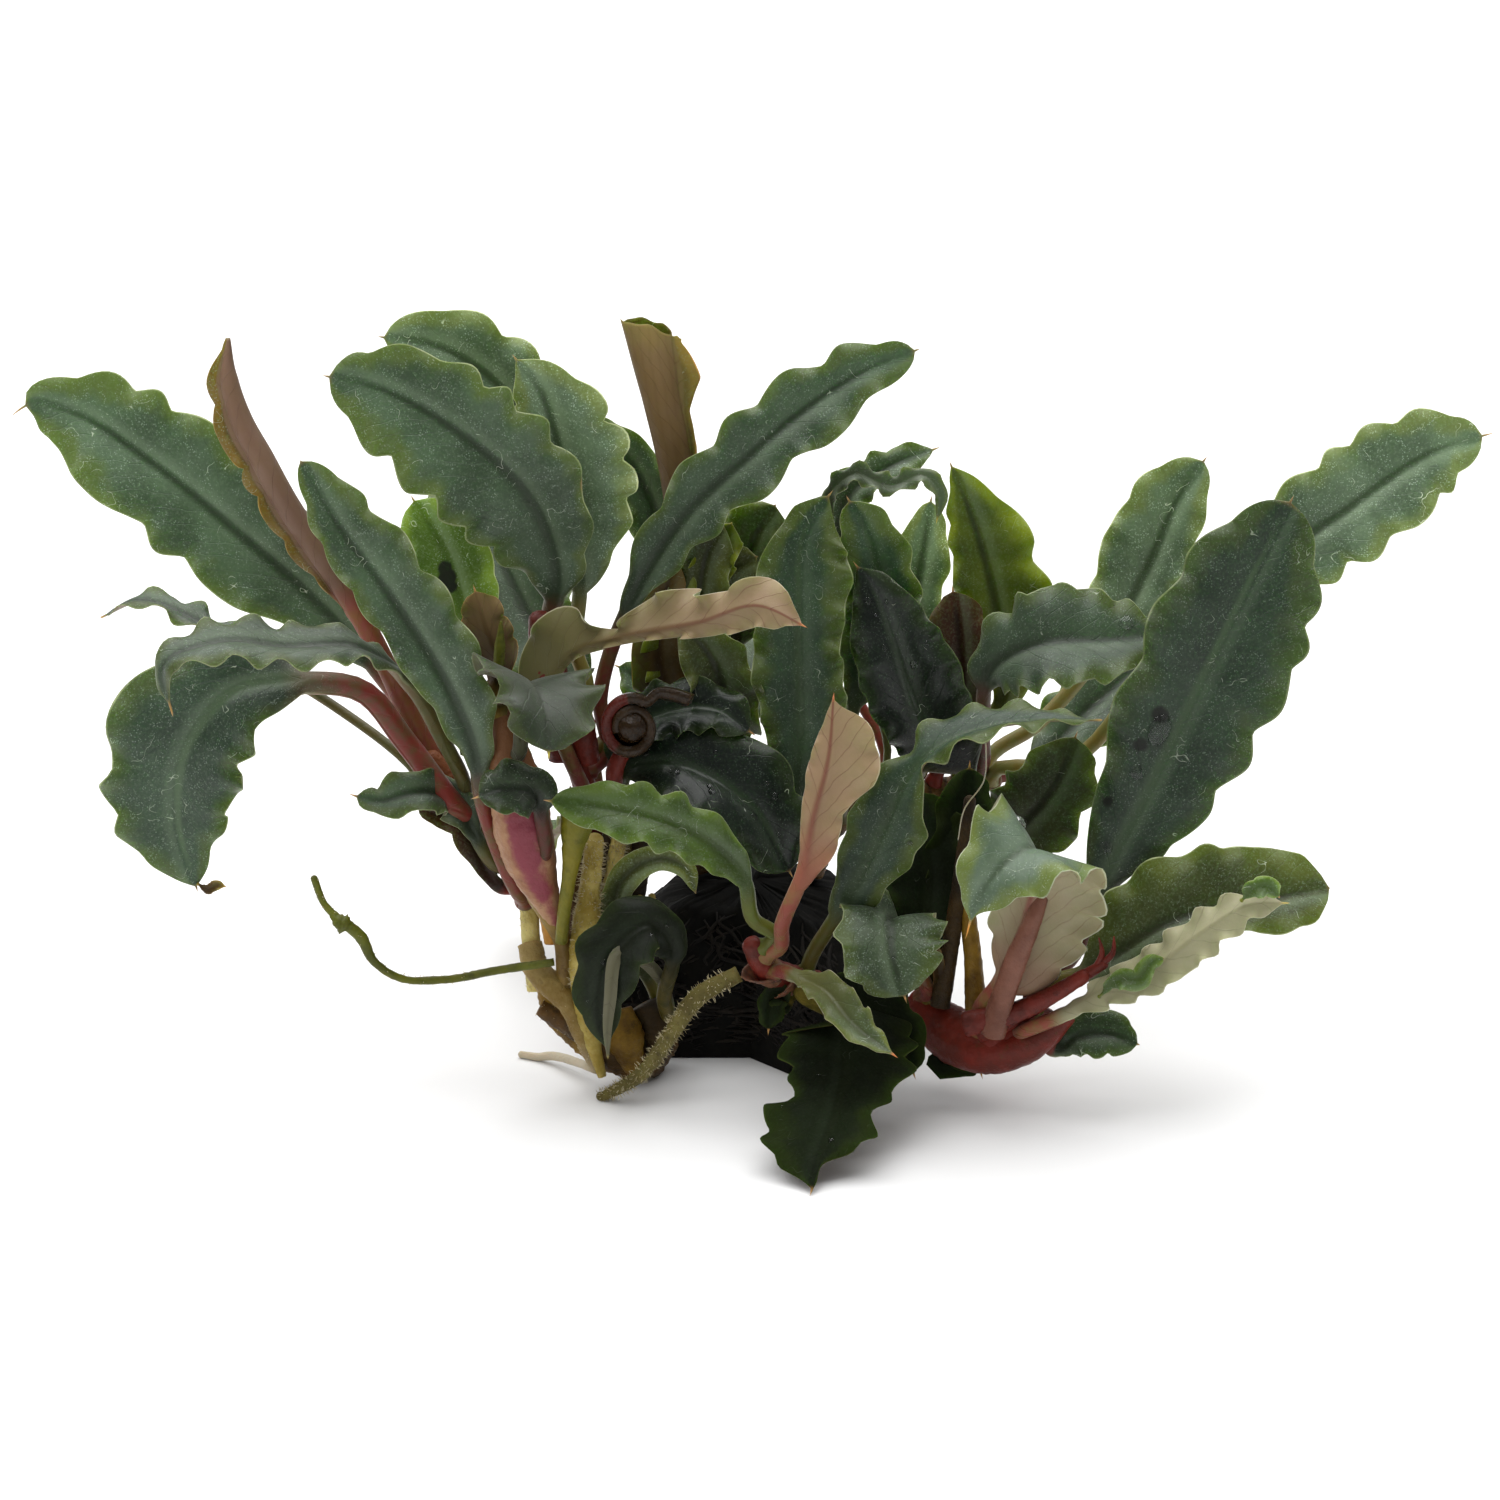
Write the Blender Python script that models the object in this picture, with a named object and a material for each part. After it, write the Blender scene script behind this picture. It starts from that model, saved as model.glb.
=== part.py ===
"""Bucephalandra: a clump of wavy leaves on short stems, rooted in a mat that is cut flat underneath.

Lengths are in millimetres until mesh_object turns them into metres. The origin is the middle of the
root mat's flat underside, +Z is up and the front of the plant looks along -Y.

A place on a leaf, stem or root is (across, rise, depth). Across and rise are measured on a true-size
view of the plant from the front, 20 degrees above level: across to the right of the root mat's middle,
rise above or below the middle of the view. Depth is the real distance behind the root mat's middle.
"""

import math

import bmesh
import bpy
import numpy as np

MM = 0.001

VIEW_ELEVATION = math.radians(20)
VIEW_DISTANCE = 600
VIEW_MIDDLE_HEIGHT = 30.4

GAP = 0.35
LEAF_HALF_THICKNESS = 0.36
PETIOLE_RADIUS = 0.75
WIDEST_AT = 0.52
SPIKE = 0.8
SPIKE_RADIUS = 0.25
STEM_SIDES = 6

ROOT_MAT_HEIGHT = 15.0
ROOT_MAT_OUTLINE = [
    (-14, 2), (-13, -6), (-8, -7.2), (0, -7.2), (4, -11.5), (9.5, -13.5),
    (14.5, -10), (16, -2), (14, 9), (7, 15.5), (-3, 16.5), (-11, 12),
]

# Directions that a leaf's upper side may face.
VIEWER = (0, -0.94, 0.34)
AWAY = (0, 0.94, -0.34)
UP = (0, 0, 1)
SLOPING = (0, -0.7, 0.7)

DARK_GREEN = (0.075, 0.115, 0.085)
BLUE_GREEN = (0.09, 0.14, 0.105)
OLIVE = (0.11, 0.14, 0.04)
BRIGHT_GREEN = (0.10, 0.16, 0.03)
BLACK_GREEN = (0.025, 0.04, 0.03)
PALE_UNDERSIDE = (0.30, 0.25, 0.17)
BROWN = (0.12, 0.075, 0.035)
PINK_BROWN = (0.30, 0.20, 0.15)
DARK_RED = (0.10, 0.02, 0.015)
ROOT_YELLOW = (0.25, 0.19, 0.08)
ROOT_BLACK = (0.012, 0.011, 0.01)


def place(across, rise, depth):
    """The point in space that shows at (across, rise) in the front view and lies at this depth."""
    eye_depth = -VIEW_DISTANCE * math.cos(VIEW_ELEVATION)
    eye_height = VIEW_MIDDLE_HEIGHT + VIEW_DISTANCE * math.sin(VIEW_ELEVATION)
    ray_depth = rise * math.sin(VIEW_ELEVATION) + VIEW_DISTANCE * math.cos(VIEW_ELEVATION)
    ray_height = rise * math.cos(VIEW_ELEVATION) - VIEW_DISTANCE * math.sin(VIEW_ELEVATION)
    reach = (depth - eye_depth) / ray_depth
    return np.array([reach * across, depth, eye_height + reach * ray_height])


def unit(vectors):
    """The vectors at length one."""
    return vectors / np.linalg.norm(vectors, axis=-1, keepdims=True)


def smooth_path(points, fractions):
    """Points at the given fractions of the length of a smooth curve through points."""
    points = np.asarray(points, float)
    knots = np.append(0, np.cumsum(np.linalg.norm(np.diff(points, axis=0), axis=1)))
    slopes = np.gradient(points, knots, axis=0)
    fine = np.linspace(0, knots[-1], 24 * len(points))
    left = np.clip(np.searchsorted(knots, fine, side="right") - 1, 0, len(knots) - 2)
    step = (knots[left + 1] - knots[left])[:, None]
    t = (fine - knots[left])[:, None] / step
    curve = (1 + 2 * t) * (1 - t) ** 2 * points[left] + t * (1 - t) ** 2 * step * slopes[left]
    curve += t * t * (3 - 2 * t) * points[left + 1] - t * t * (1 - t) * step * slopes[left + 1]
    length = np.append(0, np.cumsum(np.linalg.norm(np.diff(curve, axis=0), axis=1)))
    wanted = np.asarray(fractions) * length[-1]
    return np.column_stack([np.interp(wanted, length, curve[:, axis]) for axis in range(3)])


def material(name, colour, roughness):
    """A Principled material of one colour."""
    made = bpy.data.materials.new(name)
    made.use_nodes = True
    shader = made.node_tree.nodes["Principled BSDF"]
    shader.inputs["Base Color"].default_value = (*colour, 1)
    shader.inputs["Roughness"].default_value = roughness
    shader.inputs["Metallic"].default_value = 0
    made.diffuse_color = (*colour, 1)
    return made


def mesh_object(name, points, faces, colour, roughness=0.4):
    """A smooth-shaded object from points in millimetres."""
    mesh = bpy.data.meshes.new(name)
    mesh.from_pydata([tuple(point) for point in np.asarray(points) * MM], [], faces)
    body = bmesh.new()
    body.from_mesh(mesh)
    bmesh.ops.recalc_face_normals(body, faces=body.faces)
    bmesh.ops.triangulate(body, faces=body.faces)
    body.to_mesh(mesh)
    body.free()
    mesh.shade_smooth()
    mesh.materials.append(material(name, colour, roughness))
    made = bpy.data.objects.new(name, mesh)
    bpy.context.scene.collection.objects.link(made)
    return made


def loft(name, rings, tip, colour, roughness=0.4):
    """A closed solid through rings of points, flat at the first and drawn to a point at tip."""
    sides = len(rings[0])
    points = [point for ring in rings for point in ring] + [tip]
    faces = [list(range(sides))]
    for ring in range(len(rings) - 1):
        for side in range(sides):
            after = (side + 1) % sides
            low = ring * sides
            faces.append([low + side, low + after, low + sides + after, low + sides + side])
    last = (len(rings) - 1) * sides
    for side in range(sides):
        faces.append([last + side, last + (side + 1) % sides, len(points) - 1])
    return mesh_object(name, points, faces, colour, roughness)


STEMS = {}


def tube_rings(path, radii, sides, steps):
    """Rings of points round a smooth path, none of them below the floor, and the path's points."""
    fractions = np.linspace(0, 1, steps + 1)
    centres = smooth_path([place(*point) for point in path], fractions)
    sizes = np.interp(fractions, np.linspace(0, 1, len(radii)), radii)
    centres[:, 2] = np.maximum(centres[:, 2], sizes)
    along = unit(np.gradient(centres, axis=0))
    side = unit(np.cross(along, (0.3, 1, 0.1)))
    front = np.cross(side, along)
    angles = np.arange(sides) * math.tau / sides
    rings = [
        [
            centre + size * (math.cos(a) * x + math.sin(a) * y)
            for a in angles
        ]
        for centre, size, x, y in zip(centres, sizes, side, front)
    ]
    return rings, centres, sizes


def stem(name, path, radii, colour, steps=8, sides=STEM_SIDES):
    """A round stem or root with a blunt tip, kept in STEMS so that leaves can find its surface."""
    rings, centres, sizes = tube_rings(path, radii, sides, steps)
    tip = centres[-1] + unit(centres[-1] - centres[-2]) * sizes[-1] * 0.8
    tip[2] = max(tip[2], sizes[-1] * 0.5)
    STEMS[name] = (centres, sizes)
    return loft(name, rings, tip, colour, 0.5)


def leaf_base(stem_name, at, toward):
    """Two points that start a leaf: just clear of the stem's side, and a little way out from it."""
    centres, sizes = STEMS[stem_name]
    position = at * (len(centres) - 1)
    steps = np.arange(len(centres))
    centre = np.array([np.interp(position, steps, centres[:, axis]) for axis in range(3)])
    radius = np.interp(position, steps, sizes)
    nearest = min(int(position), len(centres) - 2)
    along = unit(centres[nearest + 1] - centres[nearest])
    outward = toward - centre
    outward = unit(outward - along * (outward @ along))
    start = centre + outward * (radius + GAP)
    return [start, start + outward * 1.1 + along * 0.5]


def blade_width(u, pointed, widest):
    """A leaf blade's half width along its length, as a share of the widest."""
    before = np.clip(u / widest, 0, 1)
    after = np.clip((u - widest) / (1 - widest), 0, 1)
    base = (1 - (1 - before) ** 2.2) ** 0.9
    return base * ((1 - after ** 1.9) ** 0.85 if pointed else (1 - after ** 2.6) ** 0.6)


def leaf(
    name, stem_name, at, spine, blade, width, faces=(VIEWER,), fold=12, bend=0, lean=0.0,
    waves=7, ripple=0.7, scallop=0.05, wide=False, pointed=False, widest=WIDEST_AT, spike=SPIKE,
    colour=DARK_GREEN, petiole=PETIOLE_RADIUS,
):
    """One leaf with its stalk.

    The spine's places run from the stalk to the tip, and the blade starts at the share of the length
    called blade. Faces are directions of the upper side, evenly spaced from base to tip. Fold is the
    angle that each half rises from the midrib, bend the angle that its edge curls up, both in degrees.
    Lean makes the right half wider than the left. A wide leaf has a rounder cross-section. Widest is
    the share of the blade where it is widest, and spike the length of the thin point past the blade.
    """
    places = [place(*point) for point in spine]
    path = leaf_base(stem_name, at, places[0]) + places
    length = np.linalg.norm(np.diff(path, axis=0), axis=1).sum()
    blade_end = 1 - spike / length
    stalk_steps = 3 if blade > 0.25 else 2
    along_blade = np.arange(2 * waves + 1) / (2 * waves)
    fractions = np.concatenate([
        blade * np.arange(stalk_steps) / stalk_steps,
        blade + (blade_end - blade) * along_blade,
        [1],
    ])
    centres = smooth_path(path, fractions)
    along = unit(np.gradient(centres, axis=0))
    faces = np.asarray(faces, float)
    evenly = np.linspace(0, 1, len(faces))
    facing = np.column_stack([np.interp(fractions, evenly, faces[:, axis]) for axis in range(3)])
    right = unit(np.cross(along, facing))
    upper = np.cross(right, along)

    columns = (1, 0.5, 0, -0.5) if wide else (1, 0)
    outline = [(v, 1) for v in columns] + [(-v, -1) for v in columns]
    rings = []
    for index, fraction in enumerate(fractions[:-1]):
        u = max(0, (fraction - blade) / (blade_end - blade))
        share = float(blade_width(u, pointed, widest))
        stalk = petiole * (0.5 if index == 0 else 1) * (1 - u) + SPIKE_RADIUS * u
        half = 0.5 * width * share
        thick = max(LEAF_HALF_THICKNESS * (1 - 0.5 * u), stalk * (1 - 4 * u))
        beat = 1 - 2 * ((index - stalk_steps) % 2)
        ring = []
        for v, face in outline:
            sign = 1 if v > 0 else -1
            reach = max(stalk, half * (1 + sign * lean) * (1 + sign * scallop * beat))
            curl = math.radians(bend) * share + 1e-6
            x = reach * math.sin(v * curl) / curl
            lift = reach * (1 - math.cos(v * curl)) / curl
            lift += abs(x) * math.tan(math.radians(fold)) * share
            lift += sign * beat * ripple * share * v * v
            lift += face * thick * (1 - v * v)
            ring.append(centres[index] + x * right[index] + lift * upper[index])
        rings.append(np.array(ring))
    for ring in rings:
        ring[:, 2] = np.maximum(ring[:, 2], 0)
    return loft(name, rings, centres[-1], colour)


def root_mat():
    """The dense root mass: an uneven block, flat underneath, its top drawn in."""
    corners = np.array(ROOT_MAT_OUTLINE, float)
    levels = [(0, 1.0), (0.35, 1.03), (0.7, 0.92), (1.0, 0.6)]
    points = []
    for height, spread in levels:
        for corner, (x, y) in enumerate(corners):
            uneven = 1 + 0.05 * math.sin(2.7 * corner + 9 * height)
            sides = spread * (uneven if height else 1)
            points.append((x * sides, y * sides, ROOT_MAT_HEIGHT * height))
    count = len(corners)
    faces = [list(range(count)), list(range((len(levels) - 1) * count, len(levels) * count))]
    for level in range(len(levels) - 1):
        for corner in range(count):
            after = (corner + 1) % count
            low = level * count
            faces.append([low + corner, low + after, low + count + after, low + count + corner])
    return mesh_object("root_mat", points, faces, ROOT_BLACK, 0.8)


def fused_root(name, path, radii, carrier, steps, sides=STEM_SIDES):
    """A root that is one piece with its carrier: a hidden helper joined to it by a Boolean."""
    helper = stem(name, path, radii, ROOT_YELLOW, steps, sides)
    helper.hide_render = True
    helper.display_type = "WIRE"
    join = carrier.modifiers.new("joined root", "BOOLEAN")
    join.operation = "UNION"
    join.object = helper


def stems():
    """The creeping stem, the upright stems that carry the leaves, and the roots."""
    rhizome = stem("rhizome", [(-21, -25.7, -14), (-17, -27.8, -14.3), (-13, -30.6, -13.6),
                   (-10.5, -30.8, -11.8), (-8.6, -29, -9.6)], [0.9, 1.4, 2.1, 2.1, 1.6], BROWN, steps=6)
    fused_root("root_left", [(-18.5, -26.8, -14.4), (-16.6, -29.4, -14.6), (-14.7, -33, -14.2)],
               [0.9, 0.8, 0.55], rhizome, 4)
    fused_root("root_pale_thin", [(-15.3, -31.9, -14.2), (-17.5, -31.4, -10.5), (-20.5, -30.4, -7.6),
               (-23, -30.7, -7)], [0.3, 0.32, 0.32, 0.3], rhizome, 4, sides=5)
    stem("stem_left", [(-21.4, -24, -14), (-21.9, -19.3, -13.2), (-22.4, -14.5, -12.3), (-24.8, -10.2, -11),
         (-28.2, -5.8, -9.5), (-32, -0.9, -8.5)], [0.9, 0.9, 0.95, 1.1, 1.4, 1.1], ROOT_YELLOW, steps=12)
    stem("stem_pink", [(-18.6, -24.9, -15.8), (-18.8, -19, -16), (-20.8, -14.5, -16), (-22.8, -9, -16),
         (-24.2, -2, -15.5), (-24.8, 4.5, -15)], [0.8, 0.9, 1.6, 1.4, 1.1, 0.9], DARK_RED, steps=10)
    stem("stem_dark_red", [(-14, -25.6, -12.8), (-14.6, -18, -9.5), (-15.3, -9, -7.5), (-17, -2, -6),
         (-19, 5, -5)], [0.9, 0.9, 1.0, 1.2, 1.0], DARK_RED, steps=10)
    stem("stem_middle", [(-5, -12, 2), (-6, -7, 2), (-6.5, -2, 2), (-6, 4, 3)],
         [1.4, 1.2, 1.1, 0.9], ROOT_YELLOW, steps=6)
    stem("stem_back", [(6, -12.2, 2), (8, -8, 2), (12, -5, 3), (18, -4, 4), (24.5, -3, 4)],
         [1.4, 1.2, 1.1, 1.1, 0.9], ROOT_YELLOW, steps=8)
    stem("stem_front", [(6.5, -23.5, -15.9), (4, -23, -18.2), (1.5, -21.6, -20.5), (0.2, -19.5, -21.5)],
         [1.5, 1.6, 1.4, 1.0], DARK_RED, steps=6)
    stem("stem_right", [(16.6, -24.6, -13), (19.5, -27.2, -15.3), (24, -29, -18), (29.5, -27.2, -18.5)],
         [1.6, 2.2, 2.5, 1.6], DARK_RED, steps=7)
    stem("root_front", [(-1.1, -22.4, -20.8), (-5, -24.5, -21.4), (-8, -28.5, -21), (-11, -32.5, -19.5),
         (-15, -34.8, -17.8)], [0.8, 0.9, 0.8, 0.7, 0.45], ROOT_YELLOW, steps=9)
    stem("aerial_root", [(-19.6, -21.2, -17.2), (-25, -22, -17.2), (-31, -23, -18.5), (-35, -22.8, -19.5),
         (-37.7, -21, -20), (-39, -18.6, -20), (-41, -17, -20), (-42.5, -15.5, -19.5),
         (-43.6, -12.8, -19)], [0.4, 0.4, 0.4, 0.4, 0.4, 0.45, 0.6, 0.35, 0.35], OLIVE, steps=14, sides=5)


def left_leaves():
    """The crown that leans out to the left."""
    leaf("leaf_left_broad", "stem_left", 0.97, [(-35.5, 5.5, -5), (-41.2, 12.5, -3), (-51.9, 22.3, -0.5),
         (-60.2, 29, 1), (-68, 33.8, 3), (-72, 34.6, 3.4), (-74.4, 33, 3)], 0.2, 11.8, lean=0.08,
         waves=8, wide=True, widest=0.56, spike=2.4, colour=BLUE_GREEN)
    leaf("leaf_left_rolled", "stem_left", 0.86, [(-33.2, 3, -7), (-36.4, 9, -8), (-40.4, 15.8, -8.2),
         (-44.6, 22.3, -7.5), (-48.8, 29.2, -6.5), (-51.4, 34.6, -5), (-52, 41.2, -4)], 0.4, 8,
         faces=[AWAY], fold=0, bend=118, waves=7, ripple=0.25, wide=True, pointed=True, spike=2,
         colour=PINK_BROWN)
    leaf("leaf_left_arched", "stem_left", 0.82, [(-31, 1.5, -13), (-34, 6.5, -15.5), (-39, 10.2, -18),
         (-46.5, 10.3, -20.5), (-53, 10.8, -22), (-58.6, 8.4, -23), (-57.7, 3.3, -24)], 0.33, 7.2,
         faces=[UP, (0, -0.3, 0.95), (-0.6, -0.4, 0.7)], fold=4, waves=7, pointed=True, spike=1.5)
    leaf("leaf_left_drooping", "stem_left", 0.74, [(-34.2, 0.5, -10), (-39, 6, -11), (-45, 6.7, -13),
         (-51.5, 5.9, -15), (-56.2, 0.5, -16), (-57.2, -6.5, -15.5), (-55.2, -14.3, -14)], 0.42, 12.8,
         faces=[UP, (-0.2, -0.6, 0.75), VIEWER, VIEWER], fold=6, lean=0.08, waves=8, wide=True,
         pointed=True, colour=BLUE_GREEN)
    leaf("leaf_far_left_narrow", "stem_left", 0.68, [(-35, -0.5, -4), (-41, 4, 0), (-48, 8.4, 3),
         (-55, 12.6, 6), (-61, 14.9, 8), (-65, 13.2, 9)], 0.5, 4.8, faces=[UP], waves=5, petiole=0.5)
    leaf("leaf_left_small_curled", "stem_left", 0.5, [(-30.6, -4.6, -12.6), (-34, -4.4, -15),
         (-37, -5.2, -16), (-40.1, -4.4, -16.5)], 0.2, 4.8, faces=[SLOPING], waves=4)
    leaf("leaf_front_narrow", "stem_left", 0.36, [(-26.6, -6, -15.8), (-27.9, 1, -18), (-30.6, 7, -18.5),
         (-33.7, 12, -18), (-37.2, 17, -17.5), (-41.2, 22.4, -17), (-45, 29, -16)], 0.28, 8,
         lean=0.18, waves=8, ripple=0.9, wide=True, colour=BLUE_GREEN)


def pink_stem_leaves():
    """The pink stem's leaves, to the left of the middle."""
    leaf("leaf_bright_back", "stem_pink", 0.93, [(-27.6, 8, -11.5), (-28.8, 14, -9), (-30.5, 19.5, -7),
         (-34, 25.6, -5)], 0.3, 8.6, waves=5, colour=BRIGHT_GREEN)
    leaf("leaf_brown_folded", "stem_pink", 0.99, [(-25.2, 8.5, -14.8), (-26.5, 12.5, -14.6),
         (-27.7, 16.6, -14.2)], 0.25, 5, faces=[AWAY], bend=40, waves=4, colour=BROWN)
    leaf("leaf_front_pale_drooping", "stem_pink", 0.84, [(-22.9, 6, -19), (-21.6, 6.6, -23),
         (-20.3, 3.6, -27), (-20.1, -1, -30)], 0.2, 11.4, faces=[(0.25, 0, 0.95), (0.3, -0.45, 0.85)],
         waves=5, ripple=0.5)
    leaf("leaf_dark_small", "stem_pink", 0.5, [(-20.8, -7, -19.6), (-21.4, -4.6, -20.6),
         (-24.5, -4, -21.4), (-27.9, -4.9, -21.6)], 0.42, 5.8, faces=[SLOPING], waves=3, ripple=0.4,
         colour=BLACK_GREEN)


def dark_red_stem_leaves():
    """The tall leaves that rise behind the pink stem."""
    leaf("leaf_tall_broad", "stem_dark_red", 0.9, [(-20.2, 10, -6.5), (-19.4, 18, -7.5),
         (-22, 25, -9), (-29, 31.6, -10), (-37.6, 36.3, -10.5), (-42.9, 37.5, -10.5)], 0.28, 13.4,
         lean=-0.1, waves=8, wide=True, colour=BLUE_GREEN)
    leaf("leaf_tall_back", "stem_dark_red", 0.83, [(-19.5, 9, -0.5), (-19.4, 19, 2), (-20.8, 28.4, 3.5),
         (-25, 36.2, 4), (-30.4, 40, 4), (-37.4, 41.4, 3)], 0.4, 8, waves=7)
    leaf("leaf_grey_arched", "stem_dark_red", 0.98, [(-17.4, 10, -4), (-17, 17, -3.5),
         (-18.3, 25, -3.5), (-19.4, 31, -4), (-20.8, 35.4, -4.5), (-23.8, 39.6, -5)], 0.3, 11, waves=7,
         pointed=True)
    leaf("leaf_tall_right", "stem_dark_red", 0.76, [(-15, 5, -3.5), (-12.3, 14, -2.5), (-9.4, 19.4, -2.5),
         (-5.8, 24.2, -2.2), (-0.6, 29, -1.5), (4.8, 33.6, 0), (12, 38.2, 2.5), (17.2, 40.2, 4)], 0.26, 6.8,
         lean=0.06, waves=8, ripple=0.9, wide=True, widest=0.6, colour=BLUE_GREEN)
    leaf("leaf_pale_reaching", "stem_dark_red", 0.7, [(-19.8, 7, -11), (-17.4, 10, -13.5),
         (-13.5, 11.2, -15.5), (-5, 12.8, -19.5), (1, 14.4, -22.5), (5.8, 12.2, -25)], 0.24, 5.2,
         faces=[AWAY], fold=16, lean=0.4, waves=4, colour=PALE_UNDERSIDE)
    leaf("leaf_glossy_dark", "stem_dark_red", 0.45, [(-12, -2, -9.5), (-8.5, -1.3, -10.5),
         (-4, -2.6, -11), (0.5, -6, -11.5), (4.3, -12.8, -12)], 0.3, 10.6, faces=[SLOPING], waves=6,
         colour=BLACK_GREEN)
    leaf("leaf_dark_hooked", "rhizome", 0.8, [(-8.6, -24.5, -16), (-7.8, -20, -17.5), (-10, -17.6, -19),
         (-13.4, -20, -21), (-14.9, -25, -22), (-14.2, -30.5, -22.5)], 0.34, 7, pointed=True,
         faces=[SLOPING, SLOPING, (-0.3, -0.9, 0.2)], waves=5, ripple=0.3, colour=BLACK_GREEN)


def middle_leaves():
    """The shorter leaves that fill the middle of the clump."""
    leaf("leaf_brown_rolled", "stem_middle", 0.95, [(-7.2, 10, 4), (-6.8, 18, 4.5), (-7, 25.5, 4.5),
         (-8.4, 34, 4), (-9.5, 40, 3.7), (-10.3, 43.2, 3.5)], 0.42, 8.6, faces=[AWAY], fold=0, bend=105,
         waves=6, ripple=0.3, wide=True, widest=0.6, spike=0.4, colour=BROWN)
    leaf("leaf_olive_cup", "stem_middle", 0.9, [(-4.5, 9, 2), (-4.4, 14, 1.5), (-3.8, 18, 1.5),
         (-1.8, 22.8, 1)], 0.35, 5, bend=30, waves=4, colour=OLIVE)
    leaf("leaf_olive_behind", "stem_middle", 0.75, [(-8, 7, 0), (-7.8, 13, 0), (-6.6, 18.5, 0.5)],
         0.25, 6, waves=4, colour=OLIVE)
    leaf("leaf_dark_olive", "stem_middle", 0.5, [(-3, 0.5, -2), (-2.5, 5, -4), (-4.5, 10, -5),
         (-7.5, 12.8, -5)], 0.2, 8, waves=5, colour=OLIVE)
    leaf("leaf_centre_long", "stem_back", 0.3, [(5, -6, -5), (5, 3, -6), (4.8, 14, -5.5),
         (5.5, 22, -4), (8.3, 26, -3)], 0.15, 9.8, waves=9, wide=True, colour=BLUE_GREEN)
    leaf("leaf_centre_folded", "stem_back", 0.42, [(10, 2, 3), (12, 9, 2.5), (13, 15, 2),
         (11.6, 21.5, 1.5), (9.6, 25.5, 1)], 0.25, 8, waves=5, colour=OLIVE)
    leaf("leaf_back_narrow", "stem_back", 0.5, [(9.5, 8, 9), (8.8, 19, 11), (10, 25.6, 12),
         (13.8, 28.2, 12.5), (19, 30.3, 13)], 0.56, 4.2, faces=[SLOPING], waves=5, petiole=0.5)
    leaf("leaf_back_light", "stem_back", 0.6, [(14.4, 6, 9), (16.2, 14, 10), (17.3, 20, 10.5),
         (18.2, 25.6, 11)], 0.3, 6, waves=4, colour=BRIGHT_GREEN)
    leaf("leaf_blue_black", "stem_back", 0.62, [(17.5, 1, -1.5), (16, 5.5, -2.5), (14.2, 11, -2.5),
         (12.3, 16, -2), (10.3, 18.9, -1.5)], 0.15, 11, lean=0.08, waves=6, wide=True, colour=BLACK_GREEN)


def back_right_leaves():
    """The leaves on the far end of the stem that runs to the right."""
    leaf("leaf_brown_round", "stem_back", 0.74, [(21, 5, 3), (20.9, 11, 3.5), (20.2, 16.6, 4)],
         0.25, 7, waves=3, colour=BROWN)
    leaf("leaf_olive_upright", "stem_back", 0.86, [(25.5, 6, 6), (24.6, 14, 7), (22.4, 22.5, 7.5),
         (19.9, 29, 7.5)], 0.2, 8.8, lean=0.18, waves=6, pointed=True, colour=OLIVE)
    leaf("leaf_right_upright", "stem_back", 0.96, [(28.5, 2.4, 8), (35.5, 10.6, 11), (39.8, 18.5, 13),
         (42.9, 25.4, 14), (45.8, 29.5, 14.5)], 0.4, 9.2, waves=6, colour=BLUE_GREEN)
    leaf("leaf_right_level", "stem_back", 0.93, [(23.3, 1.5, -0.5), (24.3, 8.2, -3), (29, 10.6, -5),
         (36, 11, -6.5), (41.6, 11.4, -7)], 0.36, 11, faces=[SLOPING], waves=6, colour=BLUE_GREEN)
    leaf("leaf_far_right", "stem_back", 0.99, [(31, -1.5, 3), (41.5, 9.9, 3), (50, 17.3, 3.5),
         (59, 23.7, 5), (69, 30.2, 7), (74.7, 31.8, 7)], 0.45, 9.2, lean=-0.08, waves=8, wide=True,
         widest=0.56, spike=1.5, colour=OLIVE)
    leaf("leaf_olive_right", "stem_back", 0.8, [(24.5, -8.5, -1), (28.6, -6, -5), (31, -2.5, -6),
         (32.8, 2, -5.5)], 0.2, 9.2, waves=5, colour=OLIVE)


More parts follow.
